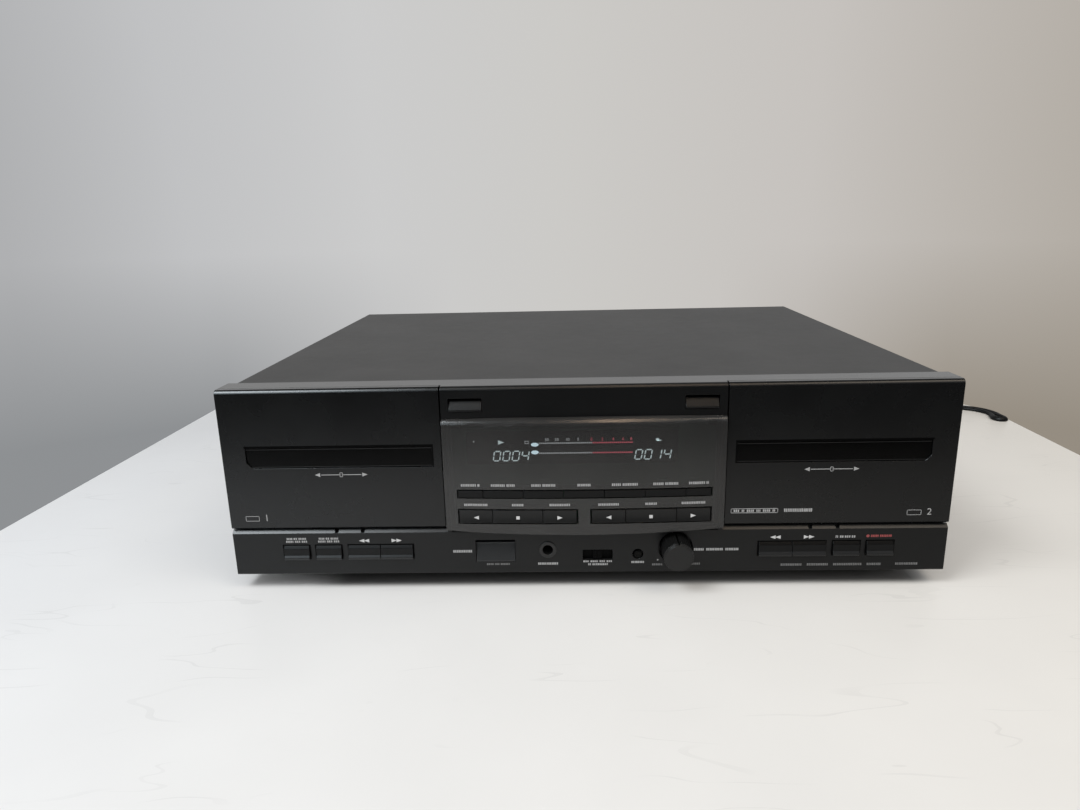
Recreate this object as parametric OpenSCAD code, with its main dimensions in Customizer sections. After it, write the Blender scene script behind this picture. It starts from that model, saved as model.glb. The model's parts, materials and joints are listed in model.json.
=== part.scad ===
// Double cassette deck: a full-width audio component that stands on a shelf.
// Origin at the bottom centre on the table, +X to the right seen from the front, +Y to the rear.

/* [Cabinet] */
// Width of the moulded front
front_w = 440; // [424:1:460]
// Height of the moulded front
front_h = 120; // [118:0.5:126]
// Depth of the moulded front, from its face to its back edge
front_d = 20.5; // [20:0.5:24]
// Wall of the moulded front
front_t = 2.5; // [2:0.1:3]
// Rounding along the top front edge
edge_r = 3; // [1.5:0.5:3.5]
// Height of the strip under the doors
strip_h = 29.9; // [29:0.1:31]
// Bevel along the top of that strip
strip_bevel = 2.1; // [1:0.1:2.4]
// Width of the centre section between the doors
centre_w = 169.2; // [168:0.2:172]
// Height of the plain bar above the display window
bar_h = 19.1; // [18:0.1:20]
// Depth of the body, from the front face to the rear edge of the cover
body_d = 346; // [320:1:370]
// Inset of the sheet cover from each side of the front
cover_inset = 4; // [2.5:0.5:6]
// Thickness of the sheet metal
sheet = 1; // [0.8:0.1:1.5]
// Outer radius of the bends in the cover
bend_r = 2; // [1.6:0.1:3]
// Step from the top of the front down to the cover
cover_drop = 0.2; // [0:0.1:0.6]
// Height of the chassis side flanges
flange_h = 45; // [35:1:60]

/* [Feet] */
// Height of the front's bottom edge above the table
foot_h = 10; // [8:0.5:14]
// Radius of a foot
foot_r = 23; // [18:0.5:25]
// Distance of a foot from the middle
foot_x = 168; // [150:1:180]
// Distance of the front feet behind the front face
foot_y = 48; // [46:1:60]
// Distance of the rear feet in front of the rear edge
foot_back = 42; // [40:1:60]

/* [Doors] */
// Gap beside each door
door_gap = 0.9; // [0.6:0.1:1.2]
// Gap under each door
door_rise = 1.1; // [0.9:0.1:1.4]
// Thickness of a door's face
door_t = 2; // [1.8:0.1:2.2]
// Depth of a door's top edge
door_lip = 5; // [4.8:0.1:5.4]
// Radius of the round bead along a door's lower edge
bead_r = 4; // [3.8:0.1:4.3]
// Radius of the hinge pins
pin_r = 1.25; // [1:0.05:1.4]
// Radial clearance of pins and shafts in their bores
fit = 0.05; // [0.03:0.01:0.08]
// Length of a hinge pin
pin_l = 2.6; // [2:0.1:3]
// Height of the door window above the door's lower edge
slot_up = 39.7; // [38:0.1:42]
// Height of the door window
slot_h = 13.2; // [11:0.1:15]
// Distance of the door window from the door's inner edge
slot_in = 5.8; // [5:0.1:8]
// Distance of the door window from the door's outer edge
slot_out = 14.5; // [12:0.1:17]
// Corner cut of the door window
slot_cut = 3.6; // [2:0.1:5]
// Depth of the door window behind the door's face
slot_deep = 1; // [0.6:0.1:1.2]

/* [Cassette bay] */
// Share of the spare width that lies between the centre section and a cassette bay
bay_share = 0.31; // [0.2:0.01:0.6]
// Width of a cassette
cass_w = 100.4; // [100:0.1:101]
// Height of a cassette
cass_h = 63.8; // [63:0.1:64]
// Thickness of a cassette
cass_t = 12; // [11.8:0.1:12.2]
// Clearance round a cassette
cass_c = 0.6; // [0.4:0.1:0.8]
// Height of a cassette's lower edge above the strip
cass_up = 14.6; // [14:0.1:16]
// Height of the hubs above a cassette's lower edge
hub_up = 34.7; // [34:0.1:35]
// Distance between the two hubs of a cassette
hub_pitch = 42.5; // [42:0.1:43]
// Thickness of the cassette holder's sheet
holder_t = 1.2; // [1:0.1:1.4]
// Radius of a reel spindle
spindle_r = 4.4; // [4:0.1:4.8]
// Radius of a reel spindle's shaft
reel_shaft_r = 1.5; // [1.2:0.1:1.8]
// Teeth of a reel gear
reel_teeth = 32; // [24:1:40]
// Radius of a capstan shaft
capstan_r = 1.25; // [1:0.05:1.5]
// Distance between the two capstans of a deck
capstan_pitch = 50; // [48:0.5:52]
// Radius of a flywheel
flywheel_r = 19; // [16:0.5:21]
// Height of the capstans above a cassette's lower edge
capstan_up = 9.5; // [9:0.1:10]
// Thickness of a transport plate
plate_t = 1.5; // [1:0.1:2]
// Upward travel of a head block
head_travel = 5.8; // [4:0.1:6]

/* [Display window] */
// Radius of the bowed face
window_r = 1300; // [1200:50:2000]
// How far the ends of the bowed face stand proud
window_proud = 2.5; // [2:0.1:3]
// Wall of the window
window_t = 2.5; // [2:0.1:3]
// Rounding along the window's upper edge
window_edge = 5; // [3:0.5:5.5]
// Height of the window's lower edge at its middle
window_low = 27.6; // [27:0.1:28.5]
// Rise of the lower edge from its middle to its ends
window_rise = 2.6; // [1.5:0.1:3]

/* [Window keys] */
// Clearance round a key or button
key_gap = 0.3; // [0.2:0.05:0.4]
// How far the window keys stand proud of the bowed face
key_proud = 0.5; // [0.2:0.1:1]
// Height of the row of function buttons above the front's lower edge
row_up = 52; // [51.6:0.1:52.8]
// Height of a function button
row_h = 4.2; // [3.6:0.1:4.8]
// Width of a middle function button
row_w = 24.4; // [22:0.1:24.8]
// Distance of the rows of keys from the ends of the window
row_margin = 8.4; // [6:0.1:10]
// Height of the transport keys above the front's lower edge
tape_key_up = 35.5; // [35:0.1:36]
// Height of a transport key
tape_key_h = 8.2; // [7.4:0.1:8.6]
// Distance of the nearest transport key from the middle
tape_key_in = 4.4; // [3:0.1:5]
// Width of a reverse or play key
tape_key_w = 20.6; // [18:0.1:21]

/* [Strip keys] */
// Distance of the nearest strip key from the middle
strip_key_in = 106.6; // [104:0.2:109]
// Width of a winding key
wind_key_w = 20.4; // [18:0.2:21]
// Width of a small key
small_key_w = 16.2; // [14:0.2:17]
// Space between strip keys
strip_key_gap = 4.1; // [3.8:0.1:5]
// Height of the strip keys above the front's lower edge
strip_key_up = 10.8; // [10:0.1:11.6]
// Height of a strip key
strip_key_h = 9; // [8:0.1:9.6]
// How far the lip of a strip key stands proud
strip_key_out = 2.6; // [1.8:0.1:3]

/* [Controls] */
// Distance of the power button from the middle
power_x = 55.2; // [54:0.1:56]
// Width of the power button
power_w = 24.2; // [22:0.1:25]
// Height of the power button's lower edge
power_up = 7.8; // [7.4:0.1:9]
// Height of the power button's opening
power_h = 14.6; // [13:0.1:15]
// Distance of the headphone jack from the middle
jack_x = 22.7; // [22:0.1:24]
// Height of the headphone jack
jack_z = 15.6; // [15:0.1:16]
// Radius of the headphone jack's hole
jack_r = 3.25; // [3.2:0.01:3.3]
// Outer radius of the headphone jack's ring
jack_ring_r = 5.3; // [5:0.1:5.6]
// Distance of the timer switch from the middle
timer_x = 8.2; // [8:0.1:9]
// Height of the timer switch
timer_z = 11.8; // [11.4:0.1:12.4]
// Length of the timer switch's slot
timer_w = 18.6; // [17:0.1:19]
// Height of the timer switch's slot
timer_h = 7; // [6:0.1:7.4]
// Distance of the mode button from the middle
mode_x = 33; // [32.6:0.1:33.4]
// Height of the mode button
mode_z = 12.2; // [12:0.1:13]
// Radius of the mode button
mode_r = 2.4; // [2:0.1:2.6]
// Radius of the mode button's hole
mode_hole_r = 3.4; // [3.1:0.1:3.6]
// Distance of the level knob from the middle
knob_x = 56.2; // [55:0.1:57]
// Height of the level knob
knob_z = 16.1; // [15.6:0.1:16.6]
// Radius of the level knob at its root
knob_r = 9.2; // [8.6:0.1:9.6]
// Radius of the well round the level knob
well_r = 10.6; // [10.4:0.1:11]
// How far the level knob stands proud
knob_out = 14.4; // [10:0.1:18]
// Grooves round the level knob
knob_grooves = 30; // [20:1:40]
// Radius of the level control's shaft
knob_shaft_r = 3; // [2:0.1:3.2]
// Distance of an eject button from the end of the centre section
eject_in = 4.8; // [4:0.1:8]
// Width of an eject button
eject_w = 19.6; // [18:0.1:21]
// Height of an eject button
eject_h = 7; // [6:0.1:8]
// Distance of an eject button below the top
eject_down = 8; // [7:0.1:9]

/* [Rear] */
// Distance of the line sockets from the middle
line_x = 150; // [140:1:160]
// Height of the lower row of line sockets
line_z = 40; // [35:1:60]
// Spacing of the line sockets
line_pitch = 16; // [14.5:0.5:18]
// Outer radius of a line socket's sleeve
line_r = 4.15; // [4.1:0.01:4.2]
// How far a line socket stands out
line_out = 8.4; // [7:0.1:10]

/* [Mains lead] */
// Width of the flat lead
cord_w = 5.6; // [5:0.1:6]
// Thickness of the flat lead
cord_t = 3.4; // [3:0.1:3.6]
// Mean radius of the coiled turns
coil_mean_r = 33.6; // [31:0.1:34]
// Step between two coiled turns
coil_pitch = 6.3; // [6.2:0.1:6.8]
// Turns in each layer of the coil
coil_turns = 2.5; // [2.5:1:2.5]

/* [Hidden] */
$fn = 48;
eps = 0.01;
big_fn = 720;

rear_y = body_d - sheet;
// Place of the front face when the whole object, without its lead, is centred
front_y = (knob_out - rear_y - line_out) / 2;
cover_top = front_h - cover_drop;
cover_x = front_w / 2 - cover_inset;
pan_x = cover_x - sheet;
pan_z = 1;
pan_front = front_d + 0.5;
beam_t = 3.5;
rail_d = 6;
ridge_y = door_lip + 0.6;
bar_z = front_h - bar_h;
centre_x = centre_w / 2;
inner_x = centre_x - front_t;
eject_x = centre_x - eject_in - eject_w / 2;
side_t = 3.2;
door_in = centre_x + door_gap;
door_out = front_w / 2;
bay_half = cass_w / 2 + cass_c;
bay_spare = door_out - side_t - door_in - 2 * (bay_half + holder_t);
// Distance of each cassette from the middle
bay_x = door_in + bay_half + holder_t + bay_share * bay_spare;
door_z = strip_h + door_rise;
hinge_y = bead_r;
hinge_z = door_z + bead_r;
tongue_r = pin_r + fit + 0.9;
slot_z = door_z + slot_up;
cass_z = strip_h + cass_up;
hub_z = cass_z + hub_up;
capstan_z = cass_z + capstan_up;
bay_d = cass_t + 0.4;
holder_y = door_lip - holder_t;
holder_back = door_lip + bay_d + holder_t;
frame_half = bay_half + holder_t + 4;
plate_y = front_d;
gear_y = plate_y + plate_t + 1;
wheel_y = gear_y + 5;
bracket_y = wheel_y + 9;
board_y = 14;
switch_gap = 1.3;
skin_gap = 0.3;
flange_t = 1.2;
window_mid = window_r - sqrt(window_r * window_r - centre_x * centre_x);
bow_y = window_r - window_proud - window_mid;
tube_x0 = -inner_x + 10;
tube_x1 = inner_x - 24;
tube_h = 22.5;
tube_z = bar_z - 9 - tube_h;
board_x0 = -pan_x + 55;
board_x1 = pan_x - 145;
board_y0 = rear_y - 235;
board_y1 = rear_y - 35;
coils_x = pan_x - 75;
coils_y = rear_y - 95;
screw_front = pan_front + 49;
screw_rear = rear_y - 59;
screw_side_z = 28;
screw_top_z = cover_top - 7;
screw_rear_x = pan_x - 25;

// Frames of reference and drawing helpers

module at_front() translate([0, front_y, foot_h]) children();

// A side outline, drawn as depth and height, run from x0 to x1
module across(x0, x1) translate([x0, 0, 0]) rotate([90, 0, 90]) linear_extrude(x1 - x0) children();

// A front outline, drawn as width and height, run from y0 back to y1
module through(y0, y1) translate([0, y1, 0]) rotate([90, 0, 0]) linear_extrude(y1 - y0) children();

module block(x0, x1, y0, y1, z0, z1) translate([x0, y0, z0]) cube([x1 - x0, y1 - y0, z1 - z0]);

module rod(r, y0, y1) rotate([-90, 0, 0]) translate([0, 0, y0]) cylinder(r = r, h = y1 - y0);

module rod_at(x, z, r, y0, y1) translate([x, 0, z]) rod(r, y0, y1);

module rounded(x0, x1, z0, z1, r) {
  translate([x0 + r, z0]) square([x1 - x0 - 2 * r, z1 - z0]);
  translate([x0, z0 + r]) square([x1 - x0, z1 - z0 - 2 * r]);
  for (x = [x0 + r, x1 - r], z = [z0 + r, z1 - r]) translate([x, z]) circle(r);
}

module each_side() for (s = [0, 1]) mirror([s, 0, 0]) children();

module on_side(b) mirror([b ? 0 : 1, 0, 0]) children();

// Moulded front

module strip_outline() polygon([[0.6, 0], [front_d, 0], [front_d, front_t], [front_t, front_t],
  [front_t, strip_h - front_t], [front_d, strip_h - front_t], [front_d, strip_h],
  [strip_bevel, strip_h], [0, strip_h - strip_bevel], [0, 0.6]]);

module strip_end_outline() polygon([[0.6, 0], [front_d, 0], [front_d, strip_h],
  [strip_bevel, strip_h], [0, strip_h - strip_bevel], [0, 0.6]]);

module bar_outline() difference() {
  union() {
    translate([edge_r, bar_z]) square([front_d - edge_r, bar_h]);
    translate([0, bar_z]) square([edge_r + eps, bar_h - edge_r]);
    translate([edge_r, front_h - edge_r]) circle(edge_r);
  }
  translate([front_t, bar_z + front_t]) square([front_d, bar_h - front_t - beam_t]);
}

module well_side() {
  across(front_w / 2 - side_t, front_w / 2) polygon([[ridge_y, strip_h - eps],
    [front_d, strip_h - eps], [front_d, front_h], [ridge_y, front_h]]);
  difference() {
    block(centre_x - eps, front_w / 2 - side_t + eps, front_d - front_t, front_d,
      strip_h - eps, front_h - beam_t + eps);
    block(bay_x - frame_half, bay_x + frame_half, 0, front_d + 1, strip_h - 1, front_h - beam_t + 1);
  }
  across(front_w / 2 - side_t + 0.2, front_w / 2 - 0.5) difference() {
    union() {
      translate([hinge_y, hinge_z]) circle(tongue_r);
      translate([hinge_y, hinge_z - tongue_r]) square([ridge_y - hinge_y + 1, 2 * tongue_r]);
    }
    translate([hinge_y, hinge_z]) circle(pin_r + fit);
  }
}

module centre_box() {
  each_side() difference() {
    block(inner_x, centre_x, 0, front_d, strip_h - strip_bevel - 2, front_h - edge_r);
    across(inner_x - 1, centre_x + 1) translate([hinge_y, hinge_z]) circle(pin_r + fit);
  }
  across(-centre_x, centre_x) bar_outline();
  each_side() {
    block(inner_x - 2.5, inner_x + eps, 3, 5.5, strip_h - eps, bar_z + eps);
    for (z = [strip_h + 2, bar_z - 8])
      block(inner_x - 7, inner_x + eps, 5.5 - eps, board_y, z, z + 5);
  }
}

module key_openings() {
  each_side() {
    block(strip_key_in - key_gap, strip_key_in + 2 * wind_key_w + key_gap, -1, front_t + 1,
      strip_key_up - key_gap, strip_key_up + strip_key_h + key_gap);
    for (i = [0, 1]) translate([small_key_x(i), 0, 0])
      block(-key_gap, small_key_w + key_gap, -1, front_t + 1,
        strip_key_up - key_gap, strip_key_up + strip_key_h + key_gap);
    for (x = [bay_x - 8.2, bay_x + 8.2]) through(-1, strip_bevel + 2)
      polygon([[x - 1.6, strip_h + 1], [x - 1, strip_h - 2], [x + 1, strip_h - 2], [x + 1.6, strip_h + 1]]);
    through(-1, front_t + 1) rounded(eject_x - eject_w / 2 - key_gap, eject_x + eject_w / 2 + key_gap,
      eject_z() - key_gap, eject_z() + eject_h + 1, 0.6);
  }
  through(-1, front_t + 1) rounded(-power_x - power_w / 2 - key_gap, -power_x + power_w / 2 + key_gap,
    power_up - key_gap, power_up + power_h, 0.6);
  rod_at(-jack_x, jack_z, jack_ring_r - 0.5 + key_gap / 3, -1, front_t + 1);
  through(-1, front_t + 1) rounded(timer_x - timer_w / 2, timer_x + timer_w / 2,
    timer_z - timer_h / 2, timer_z + timer_h / 2, 0.8);
  rod_at(mode_x, mode_z, mode_hole_r, -1, front_t + 1);
  rod_at(knob_x, knob_z, well_r, -1, front_t + 1);
}

function small_key_x(i) = strip_key_in + 2 * wind_key_w + strip_key_gap
  + i * (small_key_w + strip_key_gap);
function eject_z() = front_h - eject_down - eject_h;

module knob_well() translate([knob_x, 0, knob_z]) difference() {
  rod(well_r + 1.5, front_t - eps, 8.5);
  rod(well_r, 0, 7);
  rod(knob_shaft_r + 0.6, 0, 10);
}

module board_posts() {
  each_side() for (x = [strip_key_in - 4.6, small_key_x(1) + small_key_w + 4.6])
    rod_at(x, strip_key_up + strip_key_h / 2, 2, front_t - eps, key_board_y());
  for (x = [-71, -36, 36, 68]) block(x - 1, x + 1, front_t - eps, front_d, front_t - eps, low_board_z());
}

function key_board_y() = 6 + switch_gap + 3.4;
function low_board_z() = front_t + 3;

module cover_rail() block(-pan_x + 1, pan_x - 1, front_d - eps, front_d + rail_d,
  cover_top - sheet - 2, cover_top - sheet);

module pan_lugs() each_side() for (x = [30, 150]) block(x - 8, x + 8, front_d - eps,
  front_d + 9, pan_z + sheet, pan_z + sheet + 2.5);

module fascia() color("#26282b") at_front() {
  difference() {
    union() {
      across(-front_w / 2, front_w / 2) strip_outline();
      each_side() {
        across(front_w / 2 - front_t, front_w / 2) strip_end_outline();
        across(centre_x - eps, front_w / 2) translate([ridge_y, front_h - beam_t])
          square([front_d - ridge_y, beam_t]);
        well_side();
      }
      centre_box();
      knob_well();
      board_posts();
      cover_rail();
      pan_lugs();
    }
    key_openings();
  }
}

// Bowed display window and the keys that share its face

module bow(inset, y_back, z0, z1) intersection() {
  translate([0, bow_y, 0]) translate([0, 0, z0])
    cylinder(r = window_r - inset, h = z1 - z0, $fn = big_fn);
  block(-centre_x - 1, centre_x + 1, -20, y_back, z0, z1);
}

// Solid with a rounded upper front edge, bowed like the window's face
module bow_rounded(inset, z0, z1, y_back) intersection() {
  translate([0, bow_y, 0]) rotate([0, 0, -95]) rotate_extrude(angle = 10, $fn = big_fn)
    difference() {
      translate([window_r - inset - 16, z0]) square([16, z1 - z0]);
      difference() {
        translate([window_r - inset - window_edge, z1 - window_edge]) square(window_edge + 1);
        translate([window_r - inset - window_edge, z1 - window_edge]) circle(window_edge, $fn = 64);
      }
    }
  block(-centre_x - 1, centre_x + 1, -20, y_back, z0 - 1, z1 + 1);
}

low_arc_r = (centre_x * centre_x + window_rise * window_rise) / (2 * window_rise);

module window_outline(inset) intersection() {
  translate([-centre_x + inset, window_low - 2])
    square([centre_w - 2 * inset, bar_z - window_low + 2 - inset]);
  translate([0, window_low + low_arc_r]) circle(low_arc_r - inset, $fn = big_fn);
}

module tape_key_slot() block(tape_key_in - key_gap,
  tape_key_in + 2 * tape_key_w + stop_key_w + key_gap, -12, 6,
  tape_key_up - key_gap, tape_key_up + tape_key_h + key_gap);

function row_half() = centre_x - row_margin;
row_end_w = row_half() - 2.5 * row_w;
stop_key_w = row_half() - tape_key_in - 2 * tape_key_w;

module display_window() color("#1b1d20") at_front() difference() {
  union() {
    difference() {
      intersection() {
        bow_rounded(0, window_low - 1, bar_z, 0);
        through(-12, 2) window_outline(0);
      }
      intersection() {
        bow(window_t, 1, strip_h + window_t, bar_z - window_t - 2);
        block(-centre_x + window_t, centre_x - window_t, -12, 2, strip_h, bar_z);
      }
    }
    through(-eps, 3) difference() {
      translate([-inner_x + key_gap, strip_h + key_gap])
        square([2 * (inner_x - key_gap), bar_z - strip_h - 2 * key_gap]);
      translate([-inner_x + window_t, strip_h + window_t])
        square([2 * (inner_x - window_t), bar_z - strip_h - 2 * window_t - 2]);
    }
  }
  block(-row_half() - key_gap, row_half() + key_gap, -12, 6, row_up - key_gap, row_up + row_h + key_gap);
  each_side() tape_key_slot();
}

// A key of the window: a cap on the bowed face, a flange behind the wall and a stem to its switch
module window_key(x0, x1, z0, z1, scoop) at_front() {
  difference() {
    intersection() {
      bow(-key_proud, 0, z0, z1);
      block(x0 + key_gap / 2, x1 - key_gap / 2, -12, 8, z0, z1);
    }
    if (scoop > 0) translate([0, -window_proud - key_proud - 22 - bow_at((x0 + x1) / 2), (z0 + z1) / 2])
      rotate([0, 90, 0]) translate([0, 0, -centre_x]) cylinder(r = 22 + scoop, h = centre_w, $fn = 96);
  }
  block(x0 + key_gap / 2, x1 - key_gap / 2, -eps, 2.6, z0 - 1.2, z1 + 1.2);
  block((x0 + x1) / 2 - 3, (x0 + x1) / 2 + 3, 2.6 - eps, board_y - 3 - switch_gap, (z0 + z1) / 2 - 2, (z0 + z1) / 2 + 2);
}

function bow_at(x) = sqrt(window_r * window_r - x * x) - (window_r - window_mid);

function row_left(i) = i == 0 ? -row_half() : -2.5 * row_w + (i - 1) * row_w;
function row_width(i) = (i == 0 || i == 6) ? row_end_w : row_w;

module function_button(i) color("#232529")
  window_key(row_left(i), row_left(i) + row_width(i), row_up, row_up + row_h, 0);

function tape_key_x(i) = tape_key_in + (i == 0 ? 0 : i == 1 ? tape_key_w : tape_key_w + stop_key_w);
function tape_key_width(i) = i == 1 ? stop_key_w : tape_key_w;

// Key i counts outwards from the middle on either side
module tape_key(b, i) color("#1e2023") if (b)
  window_key(tape_key_x(i), tape_key_x(i) + tape_key_width(i), tape_key_up, tape_key_up + tape_key_h, 0.7);
else
  window_key(-tape_key_x(i) - tape_key_width(i), -tape_key_x(i), tape_key_up, tape_key_up + tape_key_h, 0.7);

// Keys of the lower strip

module strip_key_outline() {
  z0 = strip_key_up;
  z1 = strip_key_up + strip_key_h;
  polygon([[6, z0], [6, z1], [-0.6, z1], [-strip_key_out + 0.8, z1 - 1.8],
    [-strip_key_out + 0.8, z0 + 3], [-strip_key_out, z0 + 1.5], [-strip_key_out, z0 + 0.5],
    [-strip_key_out + 0.5, z0]]);
}

module strip_key(x0, w) at_front() {
  across(x0 + key_gap / 2, x0 + w - key_gap / 2) strip_key_outline();
  block(x0 + key_gap / 2, x0 + w - key_gap / 2, front_t + skin_gap, front_t + skin_gap + flange_t,
    strip_key_up - 1.4, strip_key_up + strip_key_h + 1.4);
}

// Key i of a side: two winding keys, then two small ones
module side_key(b, i) color("#202225") {
  w = i < 2 ? wind_key_w : small_key_w;
  x = i < 2 ? strip_key_in + i * wind_key_w : small_key_x(i - 2);
  strip_key(b ? x : -x - w, w);
}

module power_button() color("#34373a") at_front() {
  z0 = power_up;
  z1 = power_up + power_h - 2.8;
  across(-power_x - power_w / 2, -power_x + power_w / 2)
    polygon([[6, z0], [6, z1], [3.4, z1], [2.6, z1 - 0.8], [-0.3, z0 + 1.2], [-0.2, z0]]);
  block(-power_x - power_w / 2 - 1, -power_x + power_w / 2 + 1, front_t + skin_gap,
    front_t + skin_gap + flange_t, z0 - 1.4, z1);
  rod_at(-power_x, power_up + 7, 2, 6 - eps, 12);
}

module eject_button(b) color("#3a3d41") at_front() on_side(b) {
  z0 = eject_z();
  z1 = eject_z() + eject_h - 0.6;
  across(eject_x - eject_w / 2, eject_x + eject_w / 2)
    polygon([[7, z0], [7, z1], [2.8, z1], [2, z1 - 0.6], [-0.8, z0 + 1], [-0.6, z0]]);
  block(eject_x - eject_w / 2 - 1, eject_x + eject_w / 2 + 1, front_t + skin_gap,
    front_t + skin_gap + flange_t, z0 - 1.2, z1);
}

module mode_button() color("#2c2e31") at_front() translate([mode_x, 0, mode_z]) {
  difference() {
    rod(mode_r, -0.4, 7);
    translate([0, -7.2, 0]) sphere(r = 7, $fn = 64);
  }
  rod(mode_hole_r + 1, front_t + skin_gap, front_t + skin_gap + flange_t);
}

module timer_slider() color("#2a2c2f") at_front() translate([timer_x, 0, timer_z]) {
  block(-2.8, 2.8, 0.8, front_t + 1, -timer_h / 2 + key_gap, timer_h / 2 - key_gap);
  for (x = [-1.5, 0.7]) block(x, x + 0.8, 0.2, 0.8 + eps, -timer_h / 2 + 0.8, timer_h / 2 - 0.8);
  block(-15.4, 15.4, front_t + skin_gap, front_t + skin_gap + 0.8, -timer_h / 2 - 1, timer_h / 2 + 1);
  block(-1.5, 1.5, front_t + 1, 9, -1.5, 1.5);
}

function knob_radius(k) = knob_r - (k % 3 == 0 ? 0 : k % 3 == 1 ? 0.08 : 0.42);

// Grooved body of the knob, with one wider slot at the top as its pointer
module knob_outline() difference() {
  polygon([for (k = [0:3 * knob_grooves - 1]) let (a = k * 120 / knob_grooves)
    knob_radius(k) * [cos(a), sin(a)]]);
  translate([-0.5, knob_r - 2.4]) square([1, 4]);
}

module level_knob() color("#26282a") at_front() translate([knob_x, 0, knob_z]) {
  through(-knob_out + 0.7, 5.4) knob_outline();
  rod(knob_r - 1.6, -knob_out, -knob_out + 0.7 + eps);
  rod(knob_r - 1, -knob_out + 0.25, -knob_out + 0.7 + eps);
  rod(knob_r - 1, 5.4 - eps, 6);
  rod(knob_shaft_r, 6 - eps, 15);
}

module headphone_jack() color("#c9ccd0") at_front() translate([-jack_x, 0, jack_z]) {
  difference() {
    union() {
      rod(jack_ring_r, -0.7, 0);
      rod(jack_ring_r - 0.5, -eps, front_t + 1);
      block(-7.4, 7.4, front_t + 0.5, 33, low_board_z() + 1.6 - jack_z, 7.6);
    }
    rod(jack_r, -1, 31);
  }
}

// Doors and what they carry

module door_outline() {
  translate([0, door_z + 1]) square([door_t, front_h - edge_r - door_z - 1]);
  intersection() {
    translate([edge_r, front_h - edge_r]) circle(edge_r);
    translate([0, front_h - edge_r]) square(edge_r);
  }
  translate([edge_r - eps, front_h - edge_r]) square([door_lip - edge_r + eps, edge_r]);
  translate([door_t - eps, front_h - edge_r - 1]) square([door_lip - door_t + eps, 1 + eps]);
  polygon([[0, door_z + 1], [1, door_z], [bead_r, door_z], [bead_r, hinge_z + bead_r],
    [door_t, hinge_z + bead_r + 2], [0, hinge_z + bead_r + 2]]);
  intersection() {
    translate([hinge_y, hinge_z]) circle(bead_r);
    translate([hinge_y - eps, door_z]) square([bead_r + eps, 2 * bead_r]);
  }
}

module slot_outline(grow) polygon([
  [door_in + slot_in - grow, slot_z - grow],
  [door_out - slot_out - slot_cut + grow * 0.4, slot_z - grow],
  [door_out - slot_out + grow, slot_z + slot_cut - grow * 0.4],
  [door_out - slot_out + grow, slot_z + slot_h + grow],
  [door_in + slot_in - grow, slot_z + slot_h + grow]]);

module door(b) color("#17191b") at_front() on_side(b) {
  end_x = front_w / 2 - side_t - 0.2;
  difference() {
    union() {
      across(door_in, door_out) door_outline();
      for (x = [door_in, door_out - door_t]) block(x, x + door_t, door_t - eps, door_lip,
        hinge_z + bead_r, front_h - edge_r);
      for (x = [bay_x - bay_half + 4, bay_x + bay_half - 6])
        block(x, x + 2, door_t - eps, holder_y, hinge_z + bead_r + 1, slot_z - 4);
      for (x = [bay_x - bay_half + 4, bay_x, bay_x + bay_half - 6])
        block(x, x + 2, door_t - eps, holder_y, slot_z + slot_h + 4, front_h - edge_r);
    }
    through(-1, door_t + 0.5) slot_outline(0);
    across(end_x, door_out + 1) translate([hinge_y, hinge_z]) intersection() {
      circle(bead_r + 2.2);
      translate([1.5 - hinge_y, -10]) square(20);
    }
    block(end_x, door_out + 1, 1.5, 10, door_z - 1, hinge_z);
  }
  across(end_x - eps, end_x + pin_l) translate([hinge_y, hinge_z]) circle(pin_r);
  across(door_in - pin_l, door_in + eps) translate([hinge_y, hinge_z]) circle(pin_r);
}

module door_window(b) color("#0e0f10") at_front() on_side(b) {
  through(slot_deep, door_t + eps) slot_outline(-0.15);
  through(door_t, door_t + 1.3) slot_outline(2);
}

module cassette_holder(b) color("#8d9196") at_front() on_side(b) translate([bay_x, 0, 0]) {
  top = front_h - 8;
  low = cass_z - 2.4;
  difference() {
    block(-bay_half - holder_t, bay_half + holder_t, holder_y, door_lip, low, top);
    block(-bay_half + 8, bay_half - 8, holder_y - 1, door_lip + 1, slot_z - 5, slot_z + slot_h + 5);
  }
  each_side() {
    block(bay_half, bay_half + holder_t, door_lip - eps, holder_back, low, top - 4);
    block(bay_half - 5, bay_half + eps, holder_back - holder_t, holder_back, low, top - 8);
    block(bay_half - 8, bay_half + eps, door_lip - eps, holder_back, low, low + holder_t);
    translate([bay_half, 0, 0]) across(-eps, holder_t) polygon([[door_lip, top - 4 - eps],
      [holder_back, top - 4 - eps], [holder_back - 3, top], [door_lip, top]]);
  }
}

// Transport mechanisms

module transport_frame() {
  low = strip_h + 1.5;
  difference() {
    union() {
      block(-frame_half - 4, frame_half + 4, plate_y, plate_y + plate_t, low, front_h - beam_t - 1);
      for (x = [-44, 44], z = [low + 3, hub_z - 14])
        rod_at(x, z, 2.4, plate_y + plate_t - eps, bracket_y);
      block(-48, 48, bracket_y - eps, bracket_y + plate_t, low, hub_z - 10);
      block(16, 46, bracket_y - eps, bracket_y + plate_t, hub_z - 10 - eps, front_h - 8);
    }
    for (s = [-1, 1]) {
      rod_at(s * hub_pitch / 2, hub_z, reel_shaft_r + fit, plate_y - 1, plate_y + plate_t + 1);
      rod_at(s * capstan_pitch / 2, capstan_z, capstan_r + fit, plate_y - 1, bracket_y + plate_t + 1);
    }
    block(-6, 6, plate_y - 1, plate_y + plate_t + 1, hub_z + 8, hub_z + 20);
    for (x = [-30, 30 - 3]) block(x, x + 3, plate_y - 1, plate_y + plate_t + 1, low + 3, low + 13);
  }
}

module transport_motor() translate([31, 0, hub_z + 19]) {
  rod(13, bracket_y + plate_t, bracket_y + plate_t + 24);
  rod(4, wheel_y + 1, wheel_y + 7);
  rod(1, wheel_y, bracket_y + plate_t + eps);
}

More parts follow.
